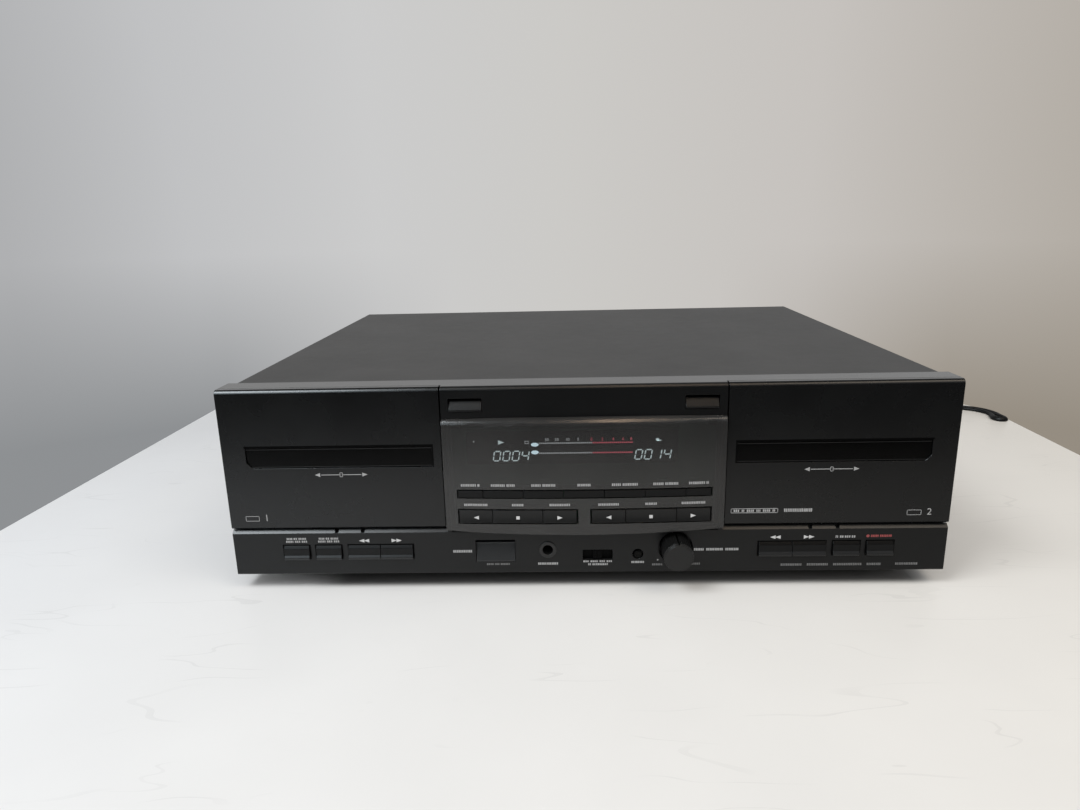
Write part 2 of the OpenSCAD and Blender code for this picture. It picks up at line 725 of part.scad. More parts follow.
module transport_frames() color("#9a9ea3") at_front() each_side() translate([bay_x, 0, 0]) {
  difference() {
    transport_frame();
    rod_at(31, hub_z + 19, 1.4, bracket_y - 1, bracket_y + plate_t + 1);
  }
  transport_motor();
}

module gear_outline(r, teeth) {
  circle(r - 1.2);
  for (i = [0:teeth - 1]) rotate(i * 360 / teeth)
    polygon([[r - 1.8, -0.85], [r, -0.35], [r, 0.35], [r - 1.8, 0.85]]);
}

module reel_spindle(x) color("#1c1d1f") at_front() translate([x, 0, hub_z]) {
  tip = door_lip + 3;
  rotate([-90, 0, 0]) rotate_extrude() polygon([[0, tip], [1.4, tip], [spindle_r - 1.3, tip + 3],
    [spindle_r - 1.3, plate_y - 3], [6.5, plate_y - 3], [6.5, plate_y - 0.4], [0, plate_y - 0.4]]);
  for (a = [0, 120, 240]) rotate([0, a, 0]) translate([0, 0, 1])
    across(-0.6, 0.6) polygon([[tip + 3, 0], [plate_y - 3 + eps, 0],
      [plate_y - 3 + eps, spindle_r - 1], [tip + 5, spindle_r - 1], [tip + 3, spindle_r - 2.6]]);
  rod(reel_shaft_r, plate_y - 0.4 - eps, gear_y + eps);
  through(gear_y, gear_y + 3) gear_outline(hub_pitch / 2 - 5, reel_teeth);
}

module capstan(x) color("#b9bdc2") at_front() translate([x, 0, capstan_z]) {
  rod(capstan_r, door_lip + 4, bracket_y + plate_t + 1);
  rotate([-90, 0, 0]) rotate_extrude() polygon([[0, wheel_y], [flywheel_r, wheel_y],
    [flywheel_r, wheel_y + 2.5], [flywheel_r - 1.5, wheel_y + 4], [flywheel_r, wheel_y + 5.5],
    [flywheel_r, wheel_y + 8], [0, wheel_y + 8]]);
}

module head_block(b) color("#7d8287") at_front() on_side(b) translate([bay_x, 0, 0]) {
  low = strip_h + 1.2;
  top = cass_z - 2.5;
  roller_z = capstan_z - capstan_r - 5.5 - head_travel - 0.2;
  block(-36, 36, plate_y - 2, plate_y - 0.3, low, top);
  for (x = [-30, 30 - 3]) block(x + 0.3, x + 2.7, plate_y - 0.3 - eps, plate_y + plate_t + 1,
    low + 3.6, low + 6);
  difference() {
    union() {
      block(-6.5, 6.5, 8, plate_y - 2 + eps, low + 1, top - 2.5);
      translate([0, 0, top - 5.5]) rod(5.5, 9, plate_y - 2 + eps);
    }
    block(-8, 8, 7, plate_y, top + 1.5, top + 10);
  }
  for (s = [-1, 1]) {
    rod_at(s * capstan_pitch / 2, roller_z, 5.5, 9, 16.5);
    rod_at(s * capstan_pitch / 2, roller_z, 1.5, 8, plate_y - 2 + eps);
  }
}

// Cover, chassis, rear panel and feet

module cover_outline(grow, r) rounded(-cover_x - grow, cover_x + grow, -20, cover_top + grow, r);

module screw_holes(r) {
  each_side() for (y = [screw_front, screw_rear]) translate([0, y, screw_side_z]) rotate([0, 90, 0])
    translate([0, 0, pan_x - 4]) cylinder(r = r, h = 12);
  for (x = [-screw_rear_x, 0, screw_rear_x]) rod_at(x, screw_top_z, r, rear_y - 4, body_d + 4);
}

module top_cover() color("#4c4d4e") at_front() difference() {
  union() {
    difference() {
      through(pan_front, body_d) cover_outline(0, bend_r);
      through(pan_front - 1, body_d + 1) cover_outline(-sheet, bend_r - sheet);
      block(-front_w, front_w, 0, body_d + 1, -30, pan_z + 3);
    }
    block(-pan_x + 2, pan_x - 2, rear_y, body_d, cover_top - 12, cover_top - sheet + eps);
  }
  screw_holes(1.8);
}

module vent_slots() for (i = [-4:4]) block(coils_x + i * 6 - 1.5, coils_x + i * 6 + 1.5,
  coils_y - 30, coils_y + 30, 0, 5);

module chassis() color("#a7aaad") at_front() {
  difference() {
    union() {
      difference() {
        block(-pan_x, pan_x, pan_front, rear_y, pan_z, flange_h);
        block(-pan_x + sheet, pan_x - sheet, pan_front - 1, body_d, pan_z + sheet, flange_h + 1);
      }
      block(-pan_x + sheet - eps, pan_x - sheet + eps, pan_front + 14, pan_front + 14 + sheet,
        pan_z + sheet - eps, pan_z + 4);
      for (x = [board_x0 + 10, board_x1 - 10], y = [board_y0 + 10, board_y1 - 10])
        translate([x, y, pan_z + sheet - eps])
        cylinder(r = 3, h = 8 + eps);
    }
    screw_holes(1.8);
    vent_slots();
    translate([0, -front_y, 0]) for (p = foot_spots()) translate([p[0], p[1] + front_y, -5])
      cylinder(r = 2.5, h = 10);
  }
}

module rear_panel() color("#2b2d2f") at_front() difference() {
  block(-pan_x + sheet, pan_x - sheet, rear_y - sheet, rear_y, pan_z + sheet, cover_top - sheet);
  for (i = [0, 1], k = [0, 1]) rod_at(-line_x + i * line_pitch, line_z + k * line_pitch,
    line_r + 1.2, rear_y - 3, rear_y + 1);
  rod_at(relief_x, relief_z - foot_h, relief_neck_r + 0.1, rear_y - 3, rear_y + 1);
  screw_holes(1.6);
}

function foot_spots() = [for (x = [-foot_x, foot_x], y = [foot_y, body_d - foot_back]) [x, y]];

module foot() {
  rotate_extrude() polygon([[3, 4], [10, 4], [10, 0.6], [foot_r - 5, 0.6], [foot_r - 4.4, 0],
    [foot_r - 2, 0], [foot_r - 1.2, 0.8], [foot_r, foot_h - 1], [foot_r, foot_h + pan_z],
    [3, foot_h + pan_z]]);
}

module feet() color("#1a1b1c") translate([0, front_y, 0])
  for (p = foot_spots()) translate([p[0], p[1], 0]) foot();

module screw() {
  cylinder(r = 1.5, h = 6);
  rotate_extrude() polygon([[0, 0], [3.4, 0], [3.4, -0.8], [2.6, -1.8], [0, -1.8]]);
}

module cover_screws() color("#5b5e61") at_front() {
  each_side() for (y = [screw_front, screw_rear]) translate([cover_x, y, screw_side_z])
    rotate([0, -90, 0]) screw();
  for (x = [-screw_rear_x, 0, screw_rear_x]) translate([x, body_d, screw_top_z])
    rotate([90, 0, 0]) screw();
}

// Inner parts

module board_switch(x, z, y0, y1) block(x - 3, x + 3, y0, y1, z - 3, z + 3);

module front_boards() color("#2f6b4a") at_front() {
  each_side() {
    block(strip_key_in - 8, small_key_x(1) + small_key_w + 8, key_board_y(), key_board_y() + 1.6,
      strip_key_up - 4, strip_key_up + strip_key_h + 2);
    for (x = [for (i = [0, 1]) strip_key_in + (i + 0.5) * wind_key_w,
              for (i = [0, 1]) small_key_x(i) + small_key_w / 2])
      board_switch(x, strip_key_up + strip_key_h / 2, key_board_y() - 3.4, key_board_y() + eps);
  }
  block(-inner_x + 0.5, inner_x - 0.5, board_y, board_y + 1.6, strip_h + 1, bar_z - 1);
  for (i = [0:6]) board_switch(row_left(i) + row_width(i) / 2, row_up + row_h / 2, board_y - 3, board_y + eps);
  each_side() for (i = [0:2]) board_switch(tape_key_x(i) + tape_key_width(i) / 2,
    tape_key_up + tape_key_h / 2, board_y - 3, board_y + eps);
  for (x = [tube_x0 + 8, tube_x1 - 12]) block(x, x + 4, 10 - eps, board_y + eps, tube_z + 3, tube_z + tube_h - 3);
  block(tube_x0, tube_x1, 4.5, 10, tube_z, tube_z + tube_h);
  difference() {
    union() {
      block(-74, 74, front_t + 9.5, 60, low_board_z(), low_board_z() + 1.6);
      block(-power_x - 7, -power_x + 7, 16, 40, low_board_z() + 1.6 - eps, 22);
      rod_at(knob_x, knob_z, 8, 10, 18);
      block(knob_x - 7, knob_x + 7, 14, 18, low_board_z() + 1.6 - eps, knob_z);
      block(timer_x - 7, timer_x + 7, 10.5, 16, low_board_z() + 1.6 - eps, timer_z + 3);
      block(mode_x - 3, mode_x + 3, 9.5, 13, low_board_z(), mode_z + 3);
    }
    rod_at(knob_x, knob_z, knob_shaft_r + fit, 9, 16);
    block(-jack_x - 8, -jack_x + 8, 0, 34, low_board_z() + 1.6, 30);
  }
}

module main_board() color("#2f6b4a") at_front() {
  z = pan_z + sheet + 8;
  block(board_x0, board_x1, board_y0, board_y1, z, z + 1.6);
  // Smoothing capacitors, then three chips in line and a small heat sink with fins
  for (p = [[36, 40, 8, 22], [62, 40, 8, 22], [96, 50, 6, 16], [134, 30, 5, 12], [176, 40, 6, 16]])
    translate([board_x0 + p[0], board_y0 + p[1], z + 1.6 - eps]) cylinder(r = p[2], h = p[3]);
  for (x = [28, 78, 128]) block(board_x0 + x, board_x0 + x + 34, board_y0 + 110, board_y0 + 122,
    z + 1.6 - eps, z + 5);
  block(board_x1 - 42, board_x1 - 12, board_y0 + 92, board_y0 + 94, z + 1.6 - eps, z + 32);
  for (i = [0:6]) block(board_x1 - 42 + i * 4.8, board_x1 - 40.8 + i * 4.8, board_y0 + 94 - eps,
    board_y0 + 102, z + 1.6 - eps, z + 32);
}

module power_transformer() color("#7a6a55") at_front() translate([coils_x, coils_y, pan_z + sheet]) {
  // Laminated core with its two feet
  difference() {
    block(-30, 30, -12, 12, 0, 50);
    for (s = [-1, 1]) block(s * 15 - 5, s * 15 + 5, -13, 13, 10, 40);
  }
  block(-38, 38, -10, 10, 0, 2);
  // Bobbin with its winding
  for (z = [10, 38.4]) block(-19.8, 19.8, -21, 21, z, z + 1.6);
  through(-19, 19) rounded(-19, 19, 11.5, 38.5, 4);
  block(-14, 14, -21, -19.6, 38.4, 46);
}

module line_jacks() color("#c6a24a") at_front() {
  difference() {
    block(-line_x - 10, -line_x + line_pitch + 10, rear_y - sheet - 14, rear_y - sheet,
      line_z - 10, line_z + line_pitch + 10);
    for (i = [0, 1], k = [0, 1]) rod_at(-line_x + i * line_pitch, line_z + k * line_pitch,
      1.6, rear_y - sheet - 10, rear_y);
  }
  for (i = [0, 1], k = [0, 1]) translate([-line_x + i * line_pitch, 0, line_z + k * line_pitch])
    difference() {
      union() {
        rod(line_r, rear_y - sheet - eps, rear_y + line_out);
        rod(line_r + 1, rear_y - sheet - eps, rear_y + 0.8);
      }
      rod(3.4, rear_y + 1, rear_y + line_out + 1);
      rod(1.6, rear_y - 4, rear_y + line_out + 1);
    }
}

// Mains lead: strain relief, free stretch, coil and plug

relief_x = 180;
relief_z = 28;
relief_l = 28;
relief_neck_r = 6.2;
cord_start = [relief_x, front_y + rear_y + relief_l, 0];
coil_x = cord_start[0] + 92;
coil_y = cord_start[1] - 25.5;
coil_lift = 4;
coil_dip = 0.35;
coil_steps = 24;
coil_outer_r = coil_mean_r + coil_pitch * coil_turns / 2;
tail_l = 50;
// Where the coil takes over from the free stretch
coil_start = [coil_x + cord_w, coil_y - coil_outer_r, cord_t / 2];

module strain_relief() color("#141414") translate([relief_x, front_y + rear_y, relief_z])
  rotate([-90, 0, 0]) rotate_extrude() polygon(concat(
    [[0, -7], [relief_neck_r, -7], [relief_neck_r + 1, -2.5 - sheet], [relief_neck_r + 1, -sheet - 0.1],
     [relief_neck_r, -sheet - 0.1], [relief_neck_r, 0.1], [8, 0.1], [8, 2.4], [6.4, 3]],
    [for (i = [0:4], k = [0:3]) let (y = 4 + i * 4.6 + [0, 2.4, 2.4, 4.6][k] * 1)
      [6.2 - (y - 4) * 0.085 - [0, 0, 1.1, 1.1][k], y]],
    [[4, relief_l], [0, relief_l]]));

// Points that the free stretch passes, measured from the end of the strain relief
cord_points = concat([[0, 0, 28], [0, 8, 27.8], [0, 17, 25.4], [0, 26.5, 19], [0, 36, 10.8],
  [0, 45, 4.7], [0.2, 54.5, 2.1], [3, 65.5, 1.7], [11, 74.5, 1.7], [24, 80, 1.7], [42, 82, 1.7],
  [70, 81, 1.7], [105, 78, 1.7], [140, 73, 1.7], [175, 66, 1.7], [205, 58.5, 1.7],
  [232, 51.5, 1.7], [250, 46.5, 1.7],
  [263, 42, 1.7], [274, 35.5, 1.7], [281.5, 26, 1.7], [285, 14, 1.7], [284.9, 3.5, 1.7],
  [284.3, -4, 1.7], [283.8, -8.6, 1.7], [282.2, -12.4, 1.7], [278.4, -14, 1.7], [274.6, -12.4, 1.7],
  [273, -8.6, 1.7], [273.5, -4, 1.7], [275.7, 1.5, 1.7], [277.9, 8, 1.7], [278.3, 15, 1.7],
  [275.6, 23, 1.7], [269.6, 30.7, 1.7], [260.5, 36, 1.7], [250.5, 36.4, 1.7], [241.5, 31.5, 1.7],
  [236.5, 21, 1.7], [233.5, 8, 1.7], [229.5, -6, 1.7], [222, -20, 1.7], [212, -33, 1.7],
  [199, -44, 1.7], [184, -52, 1.7], [163, -58.8, 1.7], [138, -64, 1.7]],
  [for (d = [3, 1, 0]) coil_start - cord_start + [d * cord_w, 0, 0]]);

function spline(a, b, c, d, t) = 0.5 * (2 * b + (c - a) * t + (2 * a - 5 * b + 4 * c - d) * t * t
  + (3 * b - a - 3 * c + d) * t * t * t);

function smooth(p, k) = let (n = len(p)) concat(
  [for (i = [0:n - 2], j = [0:k - 1]) spline(p[max(i - 1, 0)], p[i], p[i + 1], p[min(i + 2, n - 1)], j / k)],
  [p[n - 1]]);

function above(p, h) = [for (q = p) [q[0], q[1], max(q[2], h)]];

function unit(v) = v / norm(v);

function heading(p, i) = unit(p[min(i + 1, len(p) - 1)] - p[max(i - 1, 0)]);

// A ring of the flat lead, its width level and square to the route
function lead_ring(p, i, section) = let (t = heading(p, i), s = unit(cross(t, [0, 0, 1])), u = cross(s, t))
  [for (q = section) p[i] + s * q[0] + u * q[1]];

function flat_section(n) = [for (i = [0:n - 1]) let (a = i * 360 / n)
  [cord_w / 2 * cos(a), cord_t / 2 * sin(a) / (n == 6 ? sin(60) : 1)]];

module lead(p, n) {
  rings = [for (i = [0:len(p) - 1]) lead_ring(p, i, flat_section(n))];
  last = len(p) - 1;
  polyhedron(
    points = [for (r = rings, q = r) q],
    faces = concat(
      [[for (k = [0:n - 1]) k]],
      [for (i = [0:last - 1], k = [0:n - 1], h = [0, 1]) let (a = i * n + k, b = i * n + (k + 1) % n)
        h == 0 ? [a, a + n, b + n] : [a, b + n, b]],
      [[for (k = [0:n - 1]) last * n + n - 1 - k]]));
}

stretch = above(smooth(cord_points, 2), cord_t / 2);

function gap_between(a, b) = let (d = norm([a[0] - b[0], a[1] - b[1]]), h = abs(a[2] - b[2]))
  norm([max(0, d - cord_w), max(0, h - cord_t)]);
stretch_gap = min([for (i = [0:len(stretch) - 1], j = [i + 10:1:len(stretch) - 1])
  gap_between(stretch[i], stretch[j])]);
echo(str("Least gap of the stretch to itself: ", stretch_gap, " mm"));  // mains_cord

module mains_cord() color("#151515") translate(cord_start) lead(stretch, 8);

// Spiral of the coil: in along the lower layer, up while it turns back, out along the upper layer
function dip(t) = t - 2 * t * t + coil_dip * pow(sin(360 * t), 2);
function coil_r(u) = u < coil_turns ? coil_outer_r - coil_pitch * u
  : u > coil_turns + 0.5 ? coil_outer_r - coil_pitch * (2 * coil_turns + 0.5 - u)
  : coil_outer_r - coil_pitch * (coil_turns + dip(u - coil_turns));
function ease(t) = let (c = min(max(t, 0), 1)) c * c * (3 - 2 * c);
function coil_z(u) = cord_t / 2 + coil_lift * ease((u - coil_turns - 0.1) / 0.3);
function coil_point(u) = let (a = -90 - 360 * u, r = coil_r(u))
  [coil_x + r * cos(a), coil_y + r * sin(a), coil_z(u)];

coil_total = 2 * coil_turns + 0.5;
coil_loop = [for (i = [0:coil_total * coil_steps]) coil_point(i / coil_steps)];
coil_path = concat([coil_start], coil_loop,
  [for (d = [12, 24, 36, tail_l]) coil_loop[len(coil_loop) - 1] + [d, 0, 0]]);

coil_gap = min([for (i = [0:len(coil_loop) - 1], j = [i + coil_steps / 2:1:len(coil_loop) - 1])
  gap_between(coil_loop[i], coil_loop[j])]);
echo(str("Least gap of the coil to itself: ", coil_gap, " mm"));  // cord_coil

module cord_coil() color("#151515") lead(coil_path, 6);

// Two-pin plug, lying flat beside the coil where the tail ends
module mains_plug() color("#151515") translate([coil_x + tail_l, coil_y + coil_outer_r, 0]) {
  hull() {
    translate([0, 0, coil_z(coil_total)]) rotate([0, 90, 0]) cylinder(r = 3.2, h = 2, $fn = 32);
    translate([18, 0, 6.9]) rotate([0, 90, 0]) scale([1, 1.3, 1]) cylinder(r = 4.6, h = 1, $fn = 32);
  }
  hull() {
    translate([18, 0, 6.9]) cube([1, 11, 9], center = true);
    translate([30, 0, 6.9]) cube([1, 24, 13.6], center = true);
    translate([50, 0, 6.9]) cube([2, 34, 11], center = true);
    translate([50, 0, 6.9]) cube([2, 30, 13.6], center = true);
  }
  for (y = [-9.5, 9.5]) translate([50, y, 6.9]) rotate([0, 90, 0]) {
    cylinder(r = 2, h = 17.5);
    translate([0, 0, 17.5 - eps]) sphere(r = 2);
  }
}

fascia();
display_window();
top_cover();
chassis();
rear_panel();
feet();
cover_screws();
front_boards();
main_board();
power_transformer();
headphone_jack();
line_jacks();
transport_frames();
door(false);  // door_a
door(true);  // door_b
door_window(false);  // door_window_a
door_window(true);  // door_window_b
cassette_holder(false);  // cassette_holder_a
cassette_holder(true);  // cassette_holder_b
reel_spindle(-bay_x - hub_pitch / 2);  // reel_spindle_a1
reel_spindle(-bay_x + hub_pitch / 2);  // reel_spindle_a2
reel_spindle(bay_x - hub_pitch / 2);  // reel_spindle_b1
reel_spindle(bay_x + hub_pitch / 2);  // reel_spindle_b2
capstan(-bay_x - capstan_pitch / 2);  // capstan_a1
capstan(-bay_x + capstan_pitch / 2);  // capstan_a2
capstan(bay_x - capstan_pitch / 2);  // capstan_b1
capstan(bay_x + capstan_pitch / 2);  // capstan_b2
head_block(false);  // head_block_a
head_block(true);  // head_block_b
eject_button(false);  // eject_button_a
eject_button(true);  // eject_button_b
power_button();
function_button(0);  // function_button_1
function_button(1);  // function_button_2
function_button(2);  // function_button_3
function_button(3);  // function_button_4
function_button(4);  // function_button_5
function_button(5);  // function_button_6
function_button(6);  // function_button_7
tape_key(false, 2);  // reverse_key_a
tape_key(false, 1);  // stop_key_a
tape_key(false, 0);  // play_key_a
tape_key(true, 0);  // reverse_key_b
tape_key(true, 1);  // stop_key_b
tape_key(true, 2);  // play_key_b
side_key(false, 3);  // edit_key_1
side_key(false, 2);  // edit_key_2
side_key(false, 1);  // rewind_key_a
side_key(false, 0);  // forward_key_a
side_key(true, 0);  // rewind_key_b
side_key(true, 1);  // forward_key_b
side_key(true, 2);  // pause_key
side_key(true, 3);  // record_key
mode_button();
timer_slider();
level_knob();
strain_relief();
mains_cord();
cord_coil();
mains_plug();
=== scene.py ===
# %% [markdown]
# # A double cassette deck
#
# A hi-fi deck for two compact cassettes, 440 mm wide: a dark moulded front with two tape doors, a bowed
# smoked window between them that holds the display and two rows of keys, and a folded steel cover behind.
# The measured parts come from the frame and stay where they are. This lesson gives them their finishes,
# rounds the edges a hand would feel, and adds what is printed, lit, screwed on or wound.

# %% Load the measured parts
import json
from math import cos, pi, radians, sin, sqrt

import bmesh
import bpy
from mathutils import Matrix, Vector

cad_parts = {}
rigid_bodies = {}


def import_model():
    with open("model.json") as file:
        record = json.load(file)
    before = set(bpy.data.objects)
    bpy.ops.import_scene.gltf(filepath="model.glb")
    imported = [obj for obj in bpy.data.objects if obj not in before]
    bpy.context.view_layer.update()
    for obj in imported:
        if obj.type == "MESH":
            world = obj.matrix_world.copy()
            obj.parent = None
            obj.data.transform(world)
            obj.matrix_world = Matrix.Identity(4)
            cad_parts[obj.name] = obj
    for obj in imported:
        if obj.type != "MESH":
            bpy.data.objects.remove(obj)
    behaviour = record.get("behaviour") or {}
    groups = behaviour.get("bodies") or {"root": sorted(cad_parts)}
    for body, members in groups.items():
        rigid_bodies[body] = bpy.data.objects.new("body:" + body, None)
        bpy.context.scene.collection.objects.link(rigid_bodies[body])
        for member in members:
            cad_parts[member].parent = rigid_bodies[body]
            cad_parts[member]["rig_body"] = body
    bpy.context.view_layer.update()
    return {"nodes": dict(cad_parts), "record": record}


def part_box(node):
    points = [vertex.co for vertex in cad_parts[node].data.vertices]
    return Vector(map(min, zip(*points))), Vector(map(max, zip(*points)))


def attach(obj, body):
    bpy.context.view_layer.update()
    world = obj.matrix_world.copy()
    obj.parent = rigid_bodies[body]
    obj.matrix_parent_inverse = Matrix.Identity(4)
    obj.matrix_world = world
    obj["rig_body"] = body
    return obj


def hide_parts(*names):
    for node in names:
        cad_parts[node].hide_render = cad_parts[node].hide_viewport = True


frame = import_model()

# %% [markdown]
# Everything on the front is easiest to place from one point of it. The helper below takes millimetres
# from the middle of the front's lower edge: x to the right, y backwards, z up. Blender wants metres, so
# it turns them over in one place.

# %% Measure from the front
MM = 0.001
front_y, base_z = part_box("fascia")[0].yz


def on_front(x, y, z):
    """A point in metres, from millimetres on the front."""
    return Vector((x * MM, front_y + y * MM, base_z + z * MM))


print("the front stands", round(-front_y / MM, 1), "mm before the origin and", round(base_z / MM, 1), "mm up")

# %% [markdown]
# The camera's place was worked out from the corners of the deck in the photograph: a little left of the
# middle, looking down at about 14 degrees through a wide lens. Building the turn from its three
# directions avoids guessing at Euler angles.

# %% Set the camera
camera_at = Vector((-9.85, -593.31, 227.54)) * MM
yaw, pitch, roll = -0.0366, 0.2520, -0.02428

ahead = Vector((sin(yaw) * cos(pitch), cos(yaw) * cos(pitch), -sin(pitch)))
level = Vector((cos(yaw), -sin(yaw), 0))
above = level.cross(ahead)
across = level * cos(roll) + above * sin(roll)
upward = above * cos(roll) - level * sin(roll)

scene = bpy.context.scene


def placed(name, data):
    """A new object in the scene."""
    thing = bpy.data.objects.new(name, data)
    scene.collection.objects.link(thing)
    return thing


lens = bpy.data.cameras.new("photo_camera")
lens.sensor_width, lens.lens, lens.clip_start = 36, 24.74, 0.02
camera = placed("photo_camera", lens)
turn = Matrix((across, upward, -ahead)).transposed().to_4x4()
camera.matrix_world = Matrix.Translation(camera_at) @ turn
scene.camera = camera
print("the camera stands", round(camera_at.length, 3), "m from the origin")

# %% [markdown]
# The mains lead is flat, 5.6 mm wide and 3.4 mm thick. It leaves the back, sags to the table, runs out
# past the right side as in the photograph, and comes back to a coil that the camera does not see. A
# bevelled curve could make it, but its frame twists, so a section is carried along the route and kept
# level. Only in its tight fold does a flat lead rise onto its edge, and there the section leans.

# %% Lay out the lead
lead_width, lead_thickness = 5.6, 3.4
lead_start = Vector((180, 203.5, 0))
coil_centre = Vector((272, 178, 0))
coil_pitch, half_turns = 6.3, 2.5
coil_outer = 33.6 + coil_pitch * half_turns / 2
tail = 50
lead_route = [
    (0, 0, 28), (0, 8, 27.8), (0, 17, 25.4), (0, 26.5, 19), (0, 36, 10.8), (0, 45, 4.7), (0.2, 54.5, 2.1),
    (3, 65.5, 1.7), (11, 74.5, 1.7), (24, 80, 1.7), (42, 82, 1.7), (70, 81, 1.7), (105, 78, 1.7),
    (140, 73, 1.7), (175, 66, 1.7), (205, 58.5, 1.7), (232, 51.5, 1.7), (250, 46.5, 1.7), (263, 42, 1.7),
    (274, 35.5, 1.7), (281.5, 26, 1.7), (285, 14, 1.7), (284.9, 3.5, 1.7), (284.3, -4, 1.7),
    (283.8, -8.6, 1.7), (282.2, -12.4, 1.7), (278.4, -14, 1.7), (274.6, -12.4, 1.7), (273, -8.6, 1.7),
    (273.5, -4, 1.7), (275.7, 1.5, 1.7), (277.9, 8, 1.7), (278.3, 15, 1.7), (275.6, 23, 1.7),
    (269.6, 30.7, 1.7), (260.5, 36, 1.7), (250.5, 36.4, 1.7), (241.5, 31.5, 1.7), (236.5, 21, 1.7),
    (233.5, 8, 1.7), (229.5, -6, 1.7), (222, -20, 1.7), (212, -33, 1.7), (199, -44, 1.7), (184, -52, 1.7),
    (163, -58.8, 1.7), (138, -64, 1.7)]


def smooth(points, steps):
    """A smooth curve through the points, with so many steps between each two."""
    curve = []
    for i in range(len(points) - 1):
        a, b, c, d = (points[min(max(i + k, 0), len(points) - 1)] for k in (-1, 0, 1, 2))
        for t in (step / steps for step in range(steps)):
            curve.append(0.5 * (2 * b + (c - a) * t + (2 * a - 5 * b + 4 * c - d) * t * t
                                + (3 * b - a - 3 * c + d) * t ** 3))
    return curve + [points[-1]]


def coil_point(turns):
    """A point of the coil after so many turns: in along the lower layer, out along the upper."""
    late = turns - half_turns
    dip = late - 2 * late * late + 0.35 * sin(2 * pi * late) ** 2
    inward = turns if late < 0 else 2 * half_turns + 0.5 - turns if late > 0.5 else half_turns + dip
    climb = min(max((late - 0.1) / 0.3, 0), 1)
    radius = coil_outer - coil_pitch * inward
    angle = radians(-90 - 360 * turns)
    height = lead_thickness / 2 + 4 * climb * climb * (3 - 2 * climb)
    return coil_centre + Vector((radius * cos(angle), radius * sin(angle), height))


coil_start = coil_centre + Vector((lead_width, -coil_outer, lead_thickness / 2))
run = [lead_start + Vector(p) for p in lead_route]
run += [coil_start + Vector((widths * lead_width, 0, 0)) for widths in (3, 1, 0)]
fold_tip, fold_reach, fold_lean = lead_start + Vector((278.4, -14, 1.7)), 30, radians(50)


def leaning(point):
    """The angle by which the lead rises onto its edge, full at the tip of the fold."""
    near = 1 - min((point - fold_tip).length / fold_reach, 1)
    return fold_lean * near * near * (3 - 2 * near)


def resting_height(angle):
    """How high the middle of the oval section lies when it leans."""
    return sqrt((lead_width / 2 * sin(angle)) ** 2 + (lead_thickness / 2 * cos(angle)) ** 2)


run = [Vector((p.x, p.y, max(p.z, resting_height(leaning(p))))) for p in smooth(run, 4)]
coil_steps = 40
loops = [coil_point(i / coil_steps) for i in range(int((2 * half_turns + 0.5) * coil_steps) + 1)]
tail_run = [loops[-1] + Vector((d, 0, 0)) for d in range(6, tail + 1, 4)]
whole_run = run + loops + tail_run
lead_lean = [leaning(p) for p in run] + [0] * len(loops + tail_run)
lead_path = [p * MM for p in whole_run]

# %% [markdown]
# One helper sweeps any closed section along a route. It keeps the section level by crossing the heading
# with the upward direction, and closes both ends.

# %% Sweep the lead


def new_piece(name, shape, body=None, smooth=0):
    """An object made from a bmesh, riding on a body, and smooth except at edges sharper than an angle."""
    mesh = bpy.data.meshes.new(name)
    shape.to_mesh(mesh)
    shape.free()
    if smooth:
        for face in mesh.polygons:
            face.use_smooth = True
        mesh.set_sharp_from_angle(angle=radians(smooth))
    piece = placed(name, mesh)
    if body:
        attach(piece, body)
    return piece


def sweep(shape, path, section, side=None, closed=False, lean=None):
    """Carries a section, pairs of width and height, along a path, leaning by an angle at each point."""
    rings = []
    count = len(path)
    for i, point in enumerate(path):
        before = path[i - 1] if i or closed else point
        after = path[(i + 1) % count] if i < count - 1 or closed else point
        heading = (after - before).normalized()
        flat = side if side else heading.cross(Vector((0, 0, 1))).normalized()
        up = flat.cross(heading).normalized()
        if lean:
            flat, up = flat * cos(lean[i]) + up * sin(lean[i]), up * cos(lean[i]) - flat * sin(lean[i])
        rings.append([shape.verts.new(point + flat * w + up * h) for w, h in section])
    for a, b in zip(rings, rings[1:] + rings[:1] if closed else rings[1:]):
        for k in range(len(section)):
            n = (k + 1) % len(section)
            shape.faces.new((a[k], a[n], b[n], b[k]))
    if not closed:
        shape.faces.new(rings[0][::-1])
        shape.faces.new(rings[-1])
    bmesh.ops.recalc_face_normals(shape, faces=shape.faces)


def oval(width, height, sides):
    """The outline of an oval section in metres."""
    return [(width / 2 * MM * cos(2 * pi * k / sides), height / 2 * MM * sin(2 * pi * k / sides))
            for k in range(sides)]


lead_mesh = bmesh.new()
sweep(lead_mesh, lead_path, oval(lead_width, lead_thickness, 20), lean=lead_lean)
lead = new_piece("lead", lead_mesh, "cabinet", 50)
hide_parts("mains_cord", "cord_coil")
print("the lead has", len(lead.data.polygons), "faces")
